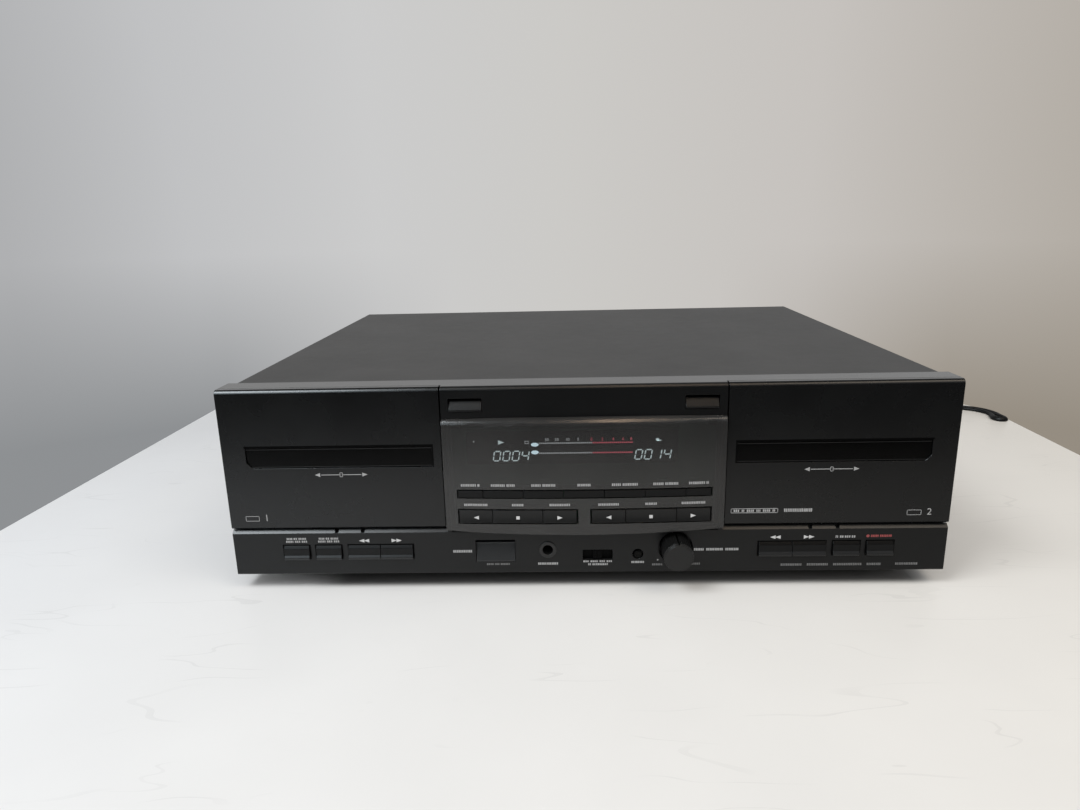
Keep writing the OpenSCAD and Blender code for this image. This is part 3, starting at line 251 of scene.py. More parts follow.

# %% [markdown]
# A strip tie keeps the coil together: a narrow band bent round the bundle at the side away from the
# camera, so its route is a rounded rectangle standing across the turns. With it the lead is complete.

# %% Tie the coil
tie_angle = radians(62)
outward = Vector((cos(tie_angle), sin(tie_angle), 0))
along = Vector((-sin(tie_angle), cos(tie_angle), 0))
inner_side = coil_outer - coil_pitch * half_turns - lead_width / 2 - 0.5
outer_side = coil_outer + lead_width / 2 + 0.5
tie_low, tie_high, tie_round = 0.35, 8.2, 1.6
half_width, half_thick = 2.2 * MM, 0.3 * MM
tie_path = []
for r, z, start in ((outer_side, tie_high, 0), (inner_side, tie_high, 90), (inner_side, tie_low, 180),
                    (outer_side, tie_low, 270)):
    inset_r = r - tie_round if r == outer_side else r + tie_round
    inset_z = z - tie_round if z == tie_high else z + tie_round
    for step in range(5):
        turn = radians(start + step * 22.5)
        tie_path.append((coil_centre + outward * (inset_r + tie_round * cos(turn))
                         + Vector((0, 0, inset_z + tie_round * sin(turn)))) * MM)
tie_mesh = bmesh.new()
band = [(w * half_width, h * half_thick) for w, h in ((-1, -1), (1, -1), (1, 1), (-1, 1))]
sweep(tie_mesh, tie_path, band, side=along, closed=True)
coil_tie = new_piece("coil_tie", tie_mesh, "cabinet", 40)
print("the tie goes round", round(outer_side - inner_side, 1), "mm of turns")

# %% [markdown]
# The deck stands on a white table top against a pale wall. The table is a real slab with its edges where
# the photograph has them, because the dark front mirrors it. The wall is only what the world shows.

# %% Make the table
table_thick, corner = 0.03, 0.09
outline = [(-0.450, 0.305), (-0.450, -0.520), (0.445, -0.430), (0.470, 0.215)]
outline += [(0.380 + corner * cos(radians(a)), 0.215 + corner * sin(radians(a))) for a in range(6, 91, 6)]
table_mesh = bmesh.new()
face = table_mesh.faces.new([table_mesh.verts.new((x, y, -table_thick)) for x, y in outline])
up = [v for v in bmesh.ops.extrude_face_region(table_mesh, geom=[face])["geom"]
      if isinstance(v, bmesh.types.BMVert)]
bmesh.ops.translate(table_mesh, verts=up, vec=(0, 0, table_thick))
rims = [e for e in table_mesh.edges if abs(e.verts[0].co.z - e.verts[1].co.z) < 1e-6]
bmesh.ops.bevel(table_mesh, geom=rims, offset=0.0015, segments=3, profile=0.5, affect="EDGES", material=-1)
bmesh.ops.recalc_face_normals(table_mesh, faces=table_mesh.faces)
table = new_piece("table_top", table_mesh, smooth=30)
print("the table top has", len(table.data.polygons), "faces")

# %% [markdown]
# Finishes are node trees. Short helpers keep them readable: one adds a node and fills its sockets, and
# the rest stand for the nodes used most and hand back what they put out. Numbers that are the same all
# over a surface go straight onto the shader.

# %% Helpers for node trees


def fill(node, **values):
    """Fills a node's inputs by name, with _ for a space; a socket is linked."""
    for key, value in values.items():
        socket = node.inputs[int(key[1:])] if key[1:].isdigit() else node.inputs[key.replace("_", " ")]
        if isinstance(value, bpy.types.NodeSocket):
            node.id_data.links.new(value, socket)
        else:
            socket.default_value = value
    return node


def add(tree, kind, _props=None, **values):
    """Adds a node, sets its properties and fills its inputs."""
    node = tree.nodes.new("ShaderNode" + kind)
    for prop, value in (_props or {}).items():
        setattr(node, prop, value)
    return fill(node, **values)


def calc(tree, operation, *values, clamp=False):
    """The result of a Math node."""
    slots = {"_" + str(i): value for i, value in enumerate(values)}
    return add(tree, "Math", {"operation": operation, "use_clamp": clamp}, **slots).outputs[0]


def times(tree, *values):
    """The product of two or more values."""
    product = values[0]
    for value in values[1:]:
        product = calc(tree, "MULTIPLY", product, value)
    return product


def ramp(tree, value, low, high, start=0.0, end=1.0, kind="LINEAR"):
    """A value that goes from start to end as another goes from low to high."""
    return add(tree, "MapRange", {"interpolation_type": kind}, Value=value, From_Min=low, From_Max=high,
               To_Min=start, To_Max=end).outputs[0]


def blend(tree, share, under, over):
    """A mix of two colours by a share."""
    return add(tree, "Mix", {"data_type": "RGBA"}, Factor=share, _6=under, _7=over).outputs[2]


def scaled(tree, colour, level):
    """A colour times a value."""
    return add(tree, "VectorMath", {"operation": "SCALE"}, _0=colour, Scale=level).outputs[0]


def noise_of(tree, coords, scale, detail, rough=0.5):
    """The values of a Noise texture."""
    return add(tree, "TexNoise", Vector=coords, Scale=scale, Detail=detail, Roughness=rough).outputs["Fac"]


def upward_part(tree):
    """How far a surface faces up, from -1 to 1."""
    return add(tree, "SeparateXYZ", Vector=add(tree, "NewGeometry").outputs["Normal"]).outputs["Z"]


def empty_tree(holder):
    """The node tree of a material or a world, emptied."""
    holder.use_nodes = True
    holder.node_tree.nodes.clear()
    return holder.node_tree


def grey(value, warm=0.0):
    """A neutral colour, a little warm or cool."""
    return (value * (1 + warm), value, value * (1 - warm), 1)


def new_group(name, inputs, outputs):
    """A node group with named sockets, what it is given, and the node that takes its results."""
    group = bpy.data.node_groups.new(name, "ShaderNodeTree")
    for key, value in inputs.items():
        socket = group.interface.new_socket(key, in_out="INPUT", socket_type="NodeSocketFloat")
        socket.default_value = value
    for key, kind in outputs.items():
        group.interface.new_socket(key, in_out="OUTPUT", socket_type="NodeSocket" + kind)
    return group, group.nodes.new("NodeGroupInput").outputs, group.nodes.new("NodeGroupOutput")


# %% [markdown]
# Moulded plastic and sprayed paint share one thing: a fine random grain, and slow drifts of tone over a
# larger area. One group gives both, from Object coordinates, so that it stays put when a piece moves.

# %% Group for grain
tree, given, results = new_group("grain", {"Size": 0.4, "Drift": 40.0}, {"Fine": "Float", "Slow": "Float"})
coords = add(tree, "TexCoord").outputs["Object"]
for name, size, detail, rough in (("Fine", "Size", 3.0, 0.55), ("Slow", "Drift", 4.0, 0.6)):
    per_metre = calc(tree, "DIVIDE", 1000.0, given[size])
    fill(results, **{name: noise_of(tree, coords, per_metre, detail, rough)})
print("grain: fine and slow")

# %% [markdown]
# No moulded or folded edge is truly sharp. The Bevel node rounds the shading of every edge by a small
# radius, and where its normal leaves the true one there is an edge: a mask for wear, where hands and
# cloths have polished the surface.

# %% Group for edges
tree, given, results = new_group("edges", {"Radius": 0.3}, {"Normal": "Vector", "Wear": "Float"})
rounded = add(tree, "Bevel", {"samples": 4}, Radius=times(tree, given["Radius"], MM)).outputs[0]
true_normal = add(tree, "NewGeometry").outputs["Normal"]
lean = add(tree, "VectorMath", {"operation": "DOT_PRODUCT"}, _0=rounded, _1=true_normal).outputs["Value"]
patchy = noise_of(tree, add(tree, "TexCoord").outputs["Object"], 120.0, 3.0)
fill(results, Normal=rounded, Wear=times(tree, ramp(tree, lean, 0.995, 0.8), patchy))
print("edges: rounded normal and wear")

# %% [markdown]
# Dust settles on what faces up, in patches. The group's mask is the upward part of the normal, broken
# by noise at two sizes: fine specks and soft fields.

# %% Group for dust
tree, given, results = new_group("dust", {"Amount": 0.5}, {"Dust": "Float"})
coords = add(tree, "TexCoord").outputs["Object"]
fields = ramp(tree, noise_of(tree, coords, 14.0, 5.0, 0.65), 0.35, 0.75)
specks = ramp(tree, noise_of(tree, coords, 900.0, 2.0), 0.52, 0.72)
both = calc(tree, "MULTIPLY_ADD", specks, 0.6, fields)
shown = times(tree, both, ramp(tree, upward_part(tree), 0.5, 1.0))
fill(results, Dust=calc(tree, "MULTIPLY", shown, given["Amount"], clamp=True))
print("dust: one mask")

# %% [markdown]
# Most of the deck's finishes are one recipe with other numbers: a base tone that drifts a little, a grain
# that lifts the surface, edges that are rounded and slightly worn, and dust on top. The recipe is a
# function, so that each finish below says only what is its own. It files the finish under its name.

# %% The shared recipe


finishes = {}


def use_group(tree, name, **values):
    """What a group gives back for these inputs."""
    return add(tree, "Group", {"node_tree": bpy.data.node_groups[name]}, **values).outputs


def finish(name, colour, rough, grain=0.5, bump=0.01, drift=0.15, edge=0.3, wear=0.3, dust=0.0,
           metal=0.0, gloss=0.5, drift_size=40.0, polish=0.0):
    """A finish: its colour and roughness, its grain in mm, and how far edges, wear and dust show."""
    finishes[name] = material = bpy.data.materials.new(name)
    tree = empty_tree(material)
    noise = use_group(tree, "grain", Size=grain, Drift=drift_size)
    edges = use_group(tree, "edges", Radius=edge)
    tinted = scaled(tree, colour[:3], ramp(tree, noise["Slow"], 0.3, 0.7, 1 - drift, 1 + drift))
    lighter = tuple(min(1, c * 2.2 + 0.02) for c in colour[:3]) + (1,)
    base = blend(tree, calc(tree, "MULTIPLY", edges["Wear"], wear, clamp=True), tinted, lighter)
    if dust:
        base = blend(tree, use_group(tree, "dust", Amount=dust)["Dust"], base, grey(0.35, 0.03))
    matt = ramp(tree, noise["Slow"], 0.3, 0.7, rough - 0.02, rough + 0.02)
    lift = add(tree, "Bump", Height=noise["Fine"], Distance=bump * MM, Normal=edges["Normal"])
    shader = add(tree, "BsdfPrincipled", Base_Color=base, Roughness=matt, Metallic=metal,
                 Specular_IOR_Level=gloss, Normal=lift.outputs[0])
    if polish:
        fill(shader, Coat_Weight=ramp(tree, upward_part(tree), 0.85, 0.99, 0.0, polish), Coat_Roughness=0.12)
    add(tree, "OutputMaterial", Surface=shader.outputs[0]).is_active_output = True
    return shader


def dress(piece, *names):
    """Puts finishes on a piece, in order."""
    piece.data.materials.clear()
    for name in names:
        piece.data.materials.append(finishes[name])


print("a recipe over three groups")

# %% [markdown]
# The finishes of the body. The front is a fine matt moulding, almost black. The cover is folded steel
# with a sprayed texture of about a millimetre. Inside is bare zinced sheet, whose crystals show as pale
# patches.

# %% Finishes of the body
finish("front_plastic", grey(0.0048, -0.05), 0.30, grain=0.35, bump=0.009, dust=0.03, wear=0.5, gloss=0.36,
       polish=1.0)
finish("door_plastic", grey(0.004, -0.06), 0.27, bump=0.006, wear=0.4, polish=1.0)
finish("cover_paint", grey(0.028, 0.02), 0.46, grain=0.9, bump=0.06, drift=0.06, edge=0.6, wear=0.35,
       dust=0.04, drift_size=9.0)
finish("zinc_sheet", grey(0.52, -0.01), 0.38, grain=3.0, drift=0.2, metal=1.0, drift_size=6.0)
finish("foot_rubber", grey(0.018), 0.6, grain=0.4, bump=0.03, drift=0.2)
finish("screw_steel", grey(0.09, 0.05), 0.3, grain=0.6, metal=1.0, wear=0.8)
finish("lead_rubber", grey(0.004), 0.5, grain=0.8, bump=0.02, drift=0.2, drift_size=90.0, gloss=0.2)
print(len(finishes), "finishes")

# %% [markdown]
# What lies inside shows only through an open door, so plain settings are enough there. The keys are one
# moulded plastic in six shades that differ in tone, sheen and wear; the lighter lip and power button are
# painted highlights, the darker slope and slider painted shade. A loop makes them from a table.

# %% Finishes of the inside and the keys
finish("board_green", (0.03, 0.13, 0.07, 1), 0.35, grain=1.5, bump=0.02, drift=0.3)
finish("transformer_iron", (0.16, 0.12, 0.09, 1), 0.5, bump=0.05)
finish("bright_metal", grey(0.72, -0.01), 0.18, grain=0.3, bump=0.004, drift=0.05, metal=1.0)
finish("mechanism_plastic", grey(0.03), 0.4)
finish("holder_steel", grey(0.3, 0.01), 0.34, grain=0.4, metal=1.0)
finish("jack_nut", grey(0.038), 0.3, grain=0.3, metal=0.7)
# The lip's finish is a painted highlight, the slope's and the slider's are painted shade, and the power
# button's is a painted highlight.
for name, value, warm, rough, wear, gloss in (
        ("key_plastic", 0.005, -0.04, 0.34, 0.3, 0.4), ("dark_plastic", 0.005, -0.04, 0.36, 0.4, 0.24),
        ("lip_plastic", 0.012, -0.04, 0.34, 0.5, 0.45), ("slope_plastic", 0.0022, -0.04, 0.4, 0.3, 0.12),
        ("power_plastic", 0.022, -0.05, 0.34, 0.3, 0.5), ("slider_plastic", 0.0015, 0.0, 0.5, 0.6, 0.08)):
    finish(name, grey(value, warm), rough, grain=0.4, bump=0.008, edge=0.2, wear=wear, gloss=gloss)
print(len(finishes), "finishes with these")

# %% [markdown]
# Smoked acrylic is nearly black, but what glows behind it shows: its alpha lets a part of the light
# through. The back of the sheet is left almost clear, or it would darken the display twice. Fine wiping
# marks in the roughness only show in the shine.

# %% Finishes of the windows


def smoked(name, haze, alpha, rough, gloss):
    """Dark see-through plastic with a polished face and wiping marks."""
    fill(finish(name, grey(haze, 0.02), rough, grain=6.0, bump=0.0006, drift=0.12, wear=0.2, gloss=gloss),
         Alpha=alpha)
    finishes[name].surface_render_method = "BLENDED"


smoked("smoked_acrylic", 0.028, 0.84, 0.2, 0.7)
smoked("clear_back", 0.004, 0.06, 0.2, 0.1)
smoked("door_acrylic", 0.002, 0.9, 0.12, 0.15)
print("three window finishes")

# %% [markdown]
# The record names a slot for each measured part's finish. The finishes above have the slots' names, so
# each part is dressed by its slot. Two differ: the door panes are a darker acrylic, the jack a dull grey.

# %% Dress the measured parts
slot_of = {part["node"]: part["material_slot"] for part in frame["record"]["subparts"]}


def look_of(name):
    """The name of a measured part's finish."""
    return "door_acrylic" if slot_of[name] == "smoked_acrylic" else slot_of[name]


for name, node in frame["nodes"].items():
    dress(node, look_of(name))
for piece in (lead, coil_tie):
    dress(piece, "lead_rubber")
dress(frame["nodes"]["headphone_jack"], "jack_nut")
print(len(slot_of), "parts dressed from", len(set(slot_of.values())), "slots")

# %% [markdown]
# Keys, doors and buttons catch a thin line of light along their edges. A measured part's mesh is made of
# loose triangles with sharp edges, so a copy is merged, its flat faces are joined and its sharp edges are
# bevelled. The copy stands in for the part on the same body. Smooth shading alone would bend the light
# across flat faces too: a Weighted Normal modifier lets the largest face decide at each corner.

# %% Round the edges of a measured part


def softened(name, width, angle=25, steps=2, flat_within=0.5):
    """A copy of a measured part with its edges rounded by a width in mm, standing in for it."""
    node = frame["nodes"][name]
    shape = bmesh.new()
    shape.from_mesh(node.data)
    bmesh.ops.remove_doubles(shape, verts=shape.verts, dist=0.004 * MM)
    bmesh.ops.dissolve_limit(shape, angle_limit=radians(flat_within), verts=shape.verts, edges=shape.edges)
    sharp = [e for e in shape.edges if len(e.link_faces) == 2 and e.calc_face_angle(0) > radians(angle)]
    bmesh.ops.bevel(shape, geom=sharp, offset=width * MM, segments=steps, profile=0.5, affect="EDGES",
                    material=-1, clamp_overlap=True)
    piece = new_piece(name + "_finished", shape, node["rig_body"], 50)
    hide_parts(name)
    dress(piece, look_of(name))
    even = piece.modifiers.new("even_shading", "WEIGHTED_NORMAL")
    even.keep_sharp = True
    return piece


small_keys = [name for name in frame["nodes"] if "_key_" in name or "_button_" in name
              or name in ("pause_key", "record_key", "power_button", "timer_slider", "mode_button")]
soft_keys = {name: softened(name, 0.22) for name in small_keys}
doors = [softened(name, 0.35) for name in ("door_a", "door_b")]
print(len(soft_keys), "keys and", len(doors), "doors rounded")

# %% [markdown]
# The keys of the strip are darker than their surroundings. The lip along the bottom is painted lighter, a
# painted highlight, and the dull slope along the top darker, painted shade. The lip is told by its height
# and the slope by its direction, face by face.

# %% Finish the darker keys
lip_top = on_front(0, 0, 13.9).z
for name, key in soft_keys.items():
    if name.startswith(("function_button", "eject_button")):
        dress(key, "dark_plastic")
    elif name.startswith(("edit_key", "rewind_key", "forward_key", "pause_key", "record_key")):
        dress(key, "dark_plastic", "lip_plastic", "slope_plastic")
        for face in key.data.polygons:
            face.material_index = 1 if face.center.z < lip_top else 2 if face.normal.z > 0.2 else 0
# The timer slider is painted near black, painted shade for its place deep in its slot.
dress(soft_keys["timer_slider"], "slider_plastic")
print("darker keys with a polished lip")

# %% [markdown]
# The display window is one bowed plate. Its copy gets two finishes: smoked on its face and in the
# openings for the keys, and almost clear on its back.

# %% Finish the display window
window = softened("display_window", 0.15, angle=40, flat_within=0.05)
dress(window, "smoked_acrylic", "clear_back")
for face in window.data.polygons:
    face.material_index = 1 if face.normal.y > 0.3 else 0
window_radius, window_centre = 1300, 1294.744


def bow(x):
    """How far back the window's face lies at a place x, in mm on the front."""
    return window_centre - sqrt(window_radius ** 2 - x * x)


print("the window bows out from", round(bow(84.6), 2), "to", round(bow(0), 2), "mm")

# %% [markdown]
# What is printed on a front is a film of ink a few hundredths of a millimetre thick. Each print here is
# a flat shape on its surface: bars, rings, triangles and plain figures, joined into one mesh per body so
# they travel with their door or key. Rows of small bars serve as labels.

# %% Shapes for printing
INK = 0.05


def flat(x, z, width, height, turn=0.0, slant=0.0):
    """A matrix that stands a unit shape up on the front, at a place and size in mm."""
    shear = Matrix.Identity(4)
    shear[0][1] = slant
    upright = Matrix.Translation(on_front(x, -INK, z)) @ Matrix.Rotation(pi / 2, 4, "X")
    size = Matrix.Diagonal((width * MM, height * MM, 1, 1))
    return upright @ Matrix.Rotation(radians(turn), 4, "Z") @ shear @ size


def bar(ink, x, z, width, height, slant=0.0):
    """A plain bar."""
    bmesh.ops.create_grid(ink, x_segments=1, y_segments=1, size=0.5,
                          matrix=flat(x, z, width, height, slant=slant))


def polygon(ink, sides, matrix):
    """A filled shape with equal sides."""
    return bmesh.ops.create_circle(ink, cap_ends=True, segments=sides, radius=0.5, matrix=matrix)


def arrow(ink, x, z, width, height, way=1):
    """A triangle that points right, or left where way is -1."""
    middle = x - way * width / 6
    polygon(ink, 3, flat(middle, z, height / 0.866, width / 0.75, turn=-90 * way))


def disc(ink, x, z, width, height=None):
    """A filled round or oval dot."""
    polygon(ink, 24, flat(x, z, width, height or width))


def ring(ink, x, z, width, line):
    """A ring of a line's thickness."""
    face = polygon(ink, 16, flat(x, z, width, width))["verts"][0].link_faces[0]
    bmesh.ops.inset_region(ink, faces=[face], thickness=line * MM, use_even_offset=True)
    bmesh.ops.delete(ink, geom=[face], context="FACES_ONLY")


def frame_box(ink, x, z, width, height, line):
    """The outline of a rectangle."""
    for side in (-1, 1):
        bar(ink, x, z + side * (height - line) / 2, width, line)
        bar(ink, x + side * (width - line) / 2, z, line, height)


def bars(ink, x, z, width, height, parts):
    """A label: small upright bars in groups, whose lengths are in proportion to parts."""
    gap, usual_step = width * 0.05, 1.05
    unit = (width - gap * (len(parts) - 1)) / sum(parts)
    left = x - width / 2
    for part in parts:
        count = max(1, round(part * unit / usual_step))
        step = part * unit / count
        for i in range(count):
            bar(ink, left + (i + 0.5) * step, z, step * (0.66 if i % 3 else 0.8), height)
        left += part * unit + gap


def printed(name, ink, look, body="cabinet", surface=None):
    """A print as a thin closed film, pushed back onto a surface that depends on x in mm."""
    for face in ink.faces:
        face.normal_update()
        if face.normal.y > 0:
            face.normal_flip()
    bmesh.ops.solidify(ink, geom=ink.faces[:], thickness=0.8 * INK * MM)
    for vert in ink.verts:
        vert.co.y += surface(vert.co.x / MM) * MM if surface else 0
    piece = new_piece(name, ink, body)
    dress(piece, look)
    return piece


print("bars, arrows, dots, rings, boxes")

# %% [markdown]
# Figures come from Blender's own typeface. A text object is turned into a mesh first, and only then
# scaled and stood up, because a text's own size and place are lost otherwise.

# %% Print a figure


def figure(ink, text, x, z, height):
    """Adds a figure, its middle at a place on the front and its height in mm."""
    curve = bpy.data.curves.new("figure", "FONT")
    curve.body = text
    curve.align_x = "CENTER"
    curve.resolution_u = 3
    holder = placed("figure", curve)
    mesh = bpy.data.meshes.new_from_object(holder.evaluated_get(bpy.context.evaluated_depsgraph_get()))
    low, high = min(v.co.y for v in mesh.vertices), max(v.co.y for v in mesh.vertices)
    scale = height / (high - low)
    mesh.transform(flat(x, z - height / 2 - low * scale, scale, scale))
    ink.from_mesh(mesh)
    bpy.data.objects.remove(holder)
    bpy.data.curves.remove(curve)
    bpy.data.meshes.remove(mesh)


def ink_finish(name, colour, glow=0.0, gloss=0.5):
    """Printing ink, slightly uneven, or a lit shape where glow is above nothing."""
    shader = finish(name, colour, 0.5, grain=0.25, bump=0.002, drift=0.12, edge=0.02, wear=0.0,
                    gloss=gloss, drift_size=3.0)
    if glow:
        fill(shader, Emission_Color=colour, Emission_Strength=glow)


# The faint grey ink is a painted highlight, for the light along the door panes' edges.
for name, colour in (("white_ink", grey(0.36)), ("bright_ink", grey(0.58)), ("pale_ink", grey(0.15)),
                     ("red_ink", (0.30, 0.06, 0.06, 1)), ("faint_ink", grey(0.011))):
    ink_finish(name, colour)
# This ink is painted shadow, laid where edges and gaps lie in shade.
ink_finish("shadow_ink", grey(0.0015), gloss=0.05)
print("six inks")

# %% [markdown]
# The strip has signs for winding, labels, and a dark line of painted shadow round each group of keys,
# where the opening's edge lies in its own shade.

# %% Print the strip
strip_ink, dim_ink, sign_ink, shadow, record_ink = (bmesh.new() for layer in range(5))
for side in (-1, 1):
    for i, way in enumerate((-1, 1)):
        key_x = side * 127 + (i - 0.5) * 20.4
        for k in (-0.5, 0.5):
            arrow(sign_ink, key_x + k * 3.1, 22.6, 3.3, 2.4, way)
    for x, width in ((127.0, 40.8), (160.0, 16.2), (180.3, 16.2)):
        # These frames are painted shadow in the gaps round the keys.
        frame_box(shadow, side * x, 15.3, width + 1.1, 9.0 + 1.1, 0.55)
for x in (-179.9, -159.6):
    bars(strip_ink, x, 24.2, 12.5, 1.3, (3, 2, 4))
    bars(strip_ink, x, 22.3, 13.5, 1.3, (4, 3, 3))
for x in (153.45, 154.35):
    bar(strip_ink, x, 22.6, 0.5, 1.6)
for x in (45.3, 66.0):
    disc(strip_ink, x, 8.1, 1.0)
disc(record_ink, 172.6, 22.9, 1.9)
for ink, rows in (
        (strip_ink, ((160.4, 22.6, 9.5, 1.4, (2, 3, 2)), (-75.8, 14.9, 12.0, 1.7, (5,)),
                     (-22.7, 6.1, 12.6, 1.5, (6,)), (81.1, 14.9, 27.4, 1.6, (3, 5, 4)),
                     (8.2, 7.4, 18.0, 1.2, (3, 4, 3, 3)), (8.4, 5.4, 12.4, 1.3, (1, 5)),
                     (33, 6.7, 8.0, 1.4, (4,)))),
        (dim_ink, ((45.1, 5.0, 6.5, 1.3, (4,)), (68.3, 5.3, 6.5, 1.3, (4,)),
                   (-53.8, 6.0, 14.5, 1.2, (3, 2, 4)), (151.4, 4.2, 61.0, 1.5, (6, 6, 8, 4)),
                   (197.3, 4.3, 13.5, 1.5, (7,)))),
        (record_ink, ((180.6, 22.9, 12.5, 1.5, (4, 6)),))):
    for row in rows:
        bars(ink, *row)
for name, ink, look in (("strip", strip_ink, "white_ink"), ("dim", dim_ink, "pale_ink"),
                        ("winding", sign_ink, "bright_ink"), ("gaps", shadow, "shadow_ink"),
                        ("record", record_ink, "red_ink")):
    layer = printed("prints_" + name, ink, look)
    print("prints_" + name, "has", len(layer.data.polygons), "faces")

# %% [markdown]
# Each door carries a sign for a tape that runs both ways, and its deck's number next to a small cassette.
# They ride on the door and tip with it. A dark line of painted shadow lies along the upper and the inner
# edge of the door's opening, and two faint lines on the pane are painted highlights, the light in its own
# edges.

# %% Print the doors
pane_depth, pane_inner, pane_outer, pane_low, pane_high = 1.0, 91.3, 205.5, 70.7, 83.9
pane_x, pane_z = (pane_inner + pane_outer) / 2, (pane_low + pane_high) / 2
pane_width = pane_outer - pane_inner
for side, deck, door in ((-1, "1", "door_a"), (1, "2", "door_b")):
    door_ink = bmesh.new()
    middle = side * 147.7
    for way in (-1, 1):
        bar(door_ink, middle + way * 6.4, 66.3, 12.0, 0.45)
        arrow(door_ink, middle + way * 14.6, 66.3, 3.2, 2.6, way)
    frame_box(door_ink, middle, 66.3, 2.0, 3.0, 0.4)
    label = side * 202.3
    frame_box(door_ink, label - 3.6, 38.0, 8.6, 3.4, 0.3)
    for k in (-1, 1):
        ring(door_ink, label - 3.6 + k * 1.7, 38.0, 1.6, 0.3)
    figure(door_ink, deck, label + 5.4, 38.5, 4.2)
    if side > 0:
        frame_box(door_ink, 103.2, 40.1, 28.4, 3.0, 0.35)
        bars(door_ink, 103.2, 40.1, 25.2, 1.5, (4, 2, 5, 3, 5, 2))
        bars(door_ink, 129.4, 40.2, 17.0, 2.1, (9,))
    printed("prints_" + door, door_ink, "white_ink", door)
    # A painted shadow along the opening's edges, and painted highlights along the pane's.
    edge_shadow_ink, pane_highlight_lines = bmesh.new(), bmesh.new()
    bar(edge_shadow_ink, side * (pane_x - 0.15), pane_high + 0.55, pane_width + 1.5, 1.1)
    bar(edge_shadow_ink, side * (pane_inner - 0.45), pane_z, 0.8, pane_high - pane_low)
    for z in (pane_high - 1.4, pane_low + 0.7):
        bar(pane_highlight_lines, side * pane_x, z, pane_width - 0.6, 0.4)
    printed("painted_edge_shadow_" + door, edge_shadow_ink, "shadow_ink", door)
    printed("prints_pane_" + door, pane_highlight_lines, "faint_ink", door, lambda x: pane_depth)
print("both doors printed")

# %% [markdown]
# Prints on the window are pushed back by its bow at their place, and the long dark lines of painted shadow
# in the gaps round its keys are drawn in short pieces, which follow the bow. The signs of its keys ride on
# the keys.

# %% Print the window
window_ink = bmesh.new()
row_edges = [-76.2, -61.0, -36.6, -12.2, 12.2, 36.6, 61.0, 76.2]
row_labels = [(11.6, (6, 1)), (14.7, (5, 3)), (14.7, (3, 4)), (8.1, (5,)), (15.7, (3, 5)), (15.2, (4, 5)),
              (12.1, (6, 1))]
for left, right, (width, parts) in zip(row_edges, row_edges[1:], row_labels):
    bars(window_ink, (left + right) / 2, 59.8, width, 1.6, parts)
for side in (-1, 1):
    for x, width in ((14.7, 12.6), (40.2, 7.1), (65.7, 14.5)):
        bars(window_ink, side * x, 47.2, width, 1.5, (5,))
printed("prints_window", window_ink, "white_ink", surface=bow)
# Dark lines of painted shadow, where the gaps round the window's keys lie in shade.
gap_shadow_lines = bmesh.new()
shadow_out, shadow_width = 0.55, 0.5
for x, z, width, height in ((0, 54.1, 152.4, 4.2), (-40.3, 39.6, 71.8, 8.2), (40.3, 39.6, 71.8, 8.2)):
    part = width / 8
    for side in (-1, 1):
        bar(gap_shadow_lines, x + side * (width / 2 + shadow_out), z, shadow_width, height + 1.6)
        for i in range(8):
            bar(gap_shadow_lines, x + (i - 3.5) * part, z + side * (height / 2 + shadow_out), part, shadow_width)
printed("window_gap_shadows", gap_shadow_lines, "shadow_ink", surface=bow)

key_proud = 0.5
for side, deck in ((-1, "a"), (1, "b")):
    for sign, kind in ((-1, "reverse"), (0, "stop"), (1, "play")):
        x = side * 40.2 + sign * 25.5
        key_ink = bmesh.new()
        if sign:
            arrow(key_ink, x, 39.1, 3.2, 2.5, sign)
        else:
            bar(key_ink, x, 39.1, 2.1, 2.1)
        printed("print_" + kind + "_" + deck, key_ink, "bright_ink", kind + "_key_" + deck + "_body",
                lambda x: bow(x) - key_proud)
print("window and keys printed")

# %% [markdown]
# Behind the smoked window stands a glass tube whose segments glow: slanted figures for two counters, and
# level marks between them, pale up to the zero and red above it. The glow goes onto the shader's own
# emission sockets.

# %% Light the display
tube_face, slant = 4.4, 0.17
for name, colour, glow in (
        ("lit_segments", (0.50, 0.60, 0.61, 1), 3.6), ("lit_bright", (0.62, 0.80, 0.88, 1), 4.2),
        ("lit_red", (0.62, 0.10, 0.14, 1), 3.0), ("lit_dim", (0.38, 0.40, 0.41, 1), 3.6)):
    ink_finish(name, colour, glow)
segments_of = {"0": "abcdef", "1": "bc", "4": "bcfg", "8": "abcdefg"}
digit_w, digit_h, digit_pitch, stroke = 3.9, 6.0, 5.75, 0.75
counters = ((-52.4, "0004"), (33.4, "0014"))


def segment_digit(ink, digit, x, z):
    """A slanted figure of up to seven bars."""
    w, h, bit = digit_w / 2, digit_h / 2, 0.3
    places = {"a": (0, h, 1), "g": (0, 0, 1), "d": (0, -h, 1), "f": (-w, h / 2, 0), "b": (w, h / 2, 0),
              "e": (-w, -h / 2, 0), "c": (w, -h / 2, 0)}
    for key in segments_of[digit]:
        dx, dz, across_bar = places[key]
        size = (digit_w - stroke - bit, stroke) if across_bar else (stroke, digit_h / 2 - stroke / 2 - bit)
        bar(ink, x + dx + slant * dz, z + dz, *size, slant=slant)


def counter(ink, x, text):
    """A row of figures from a place on."""
    for i, digit in enumerate(text):
        segment_digit(ink, digit, x + i * digit_pitch, 75.5)


figures, ovals = bmesh.new(), bmesh.new()
for x, text in counters:
    counter(figures, x, text)
arrow(figures, -49.7, 84.2, 3.6, 2.8)
disc(figures, 44.6, 84.8, 2.2, 1.9)
bar(figures, 45.6, 84.2, 2.4, 0.7)
for z in (82.5, 77.6):
    disc(ovals, -29.3, z, 4.6, 2.4)
print("two counters of four figures")

# %% [markdown]
# The level scale is two rows of small marks, one for each channel, with figures above. Each mark is a bar
# of its own, as on such a tube.

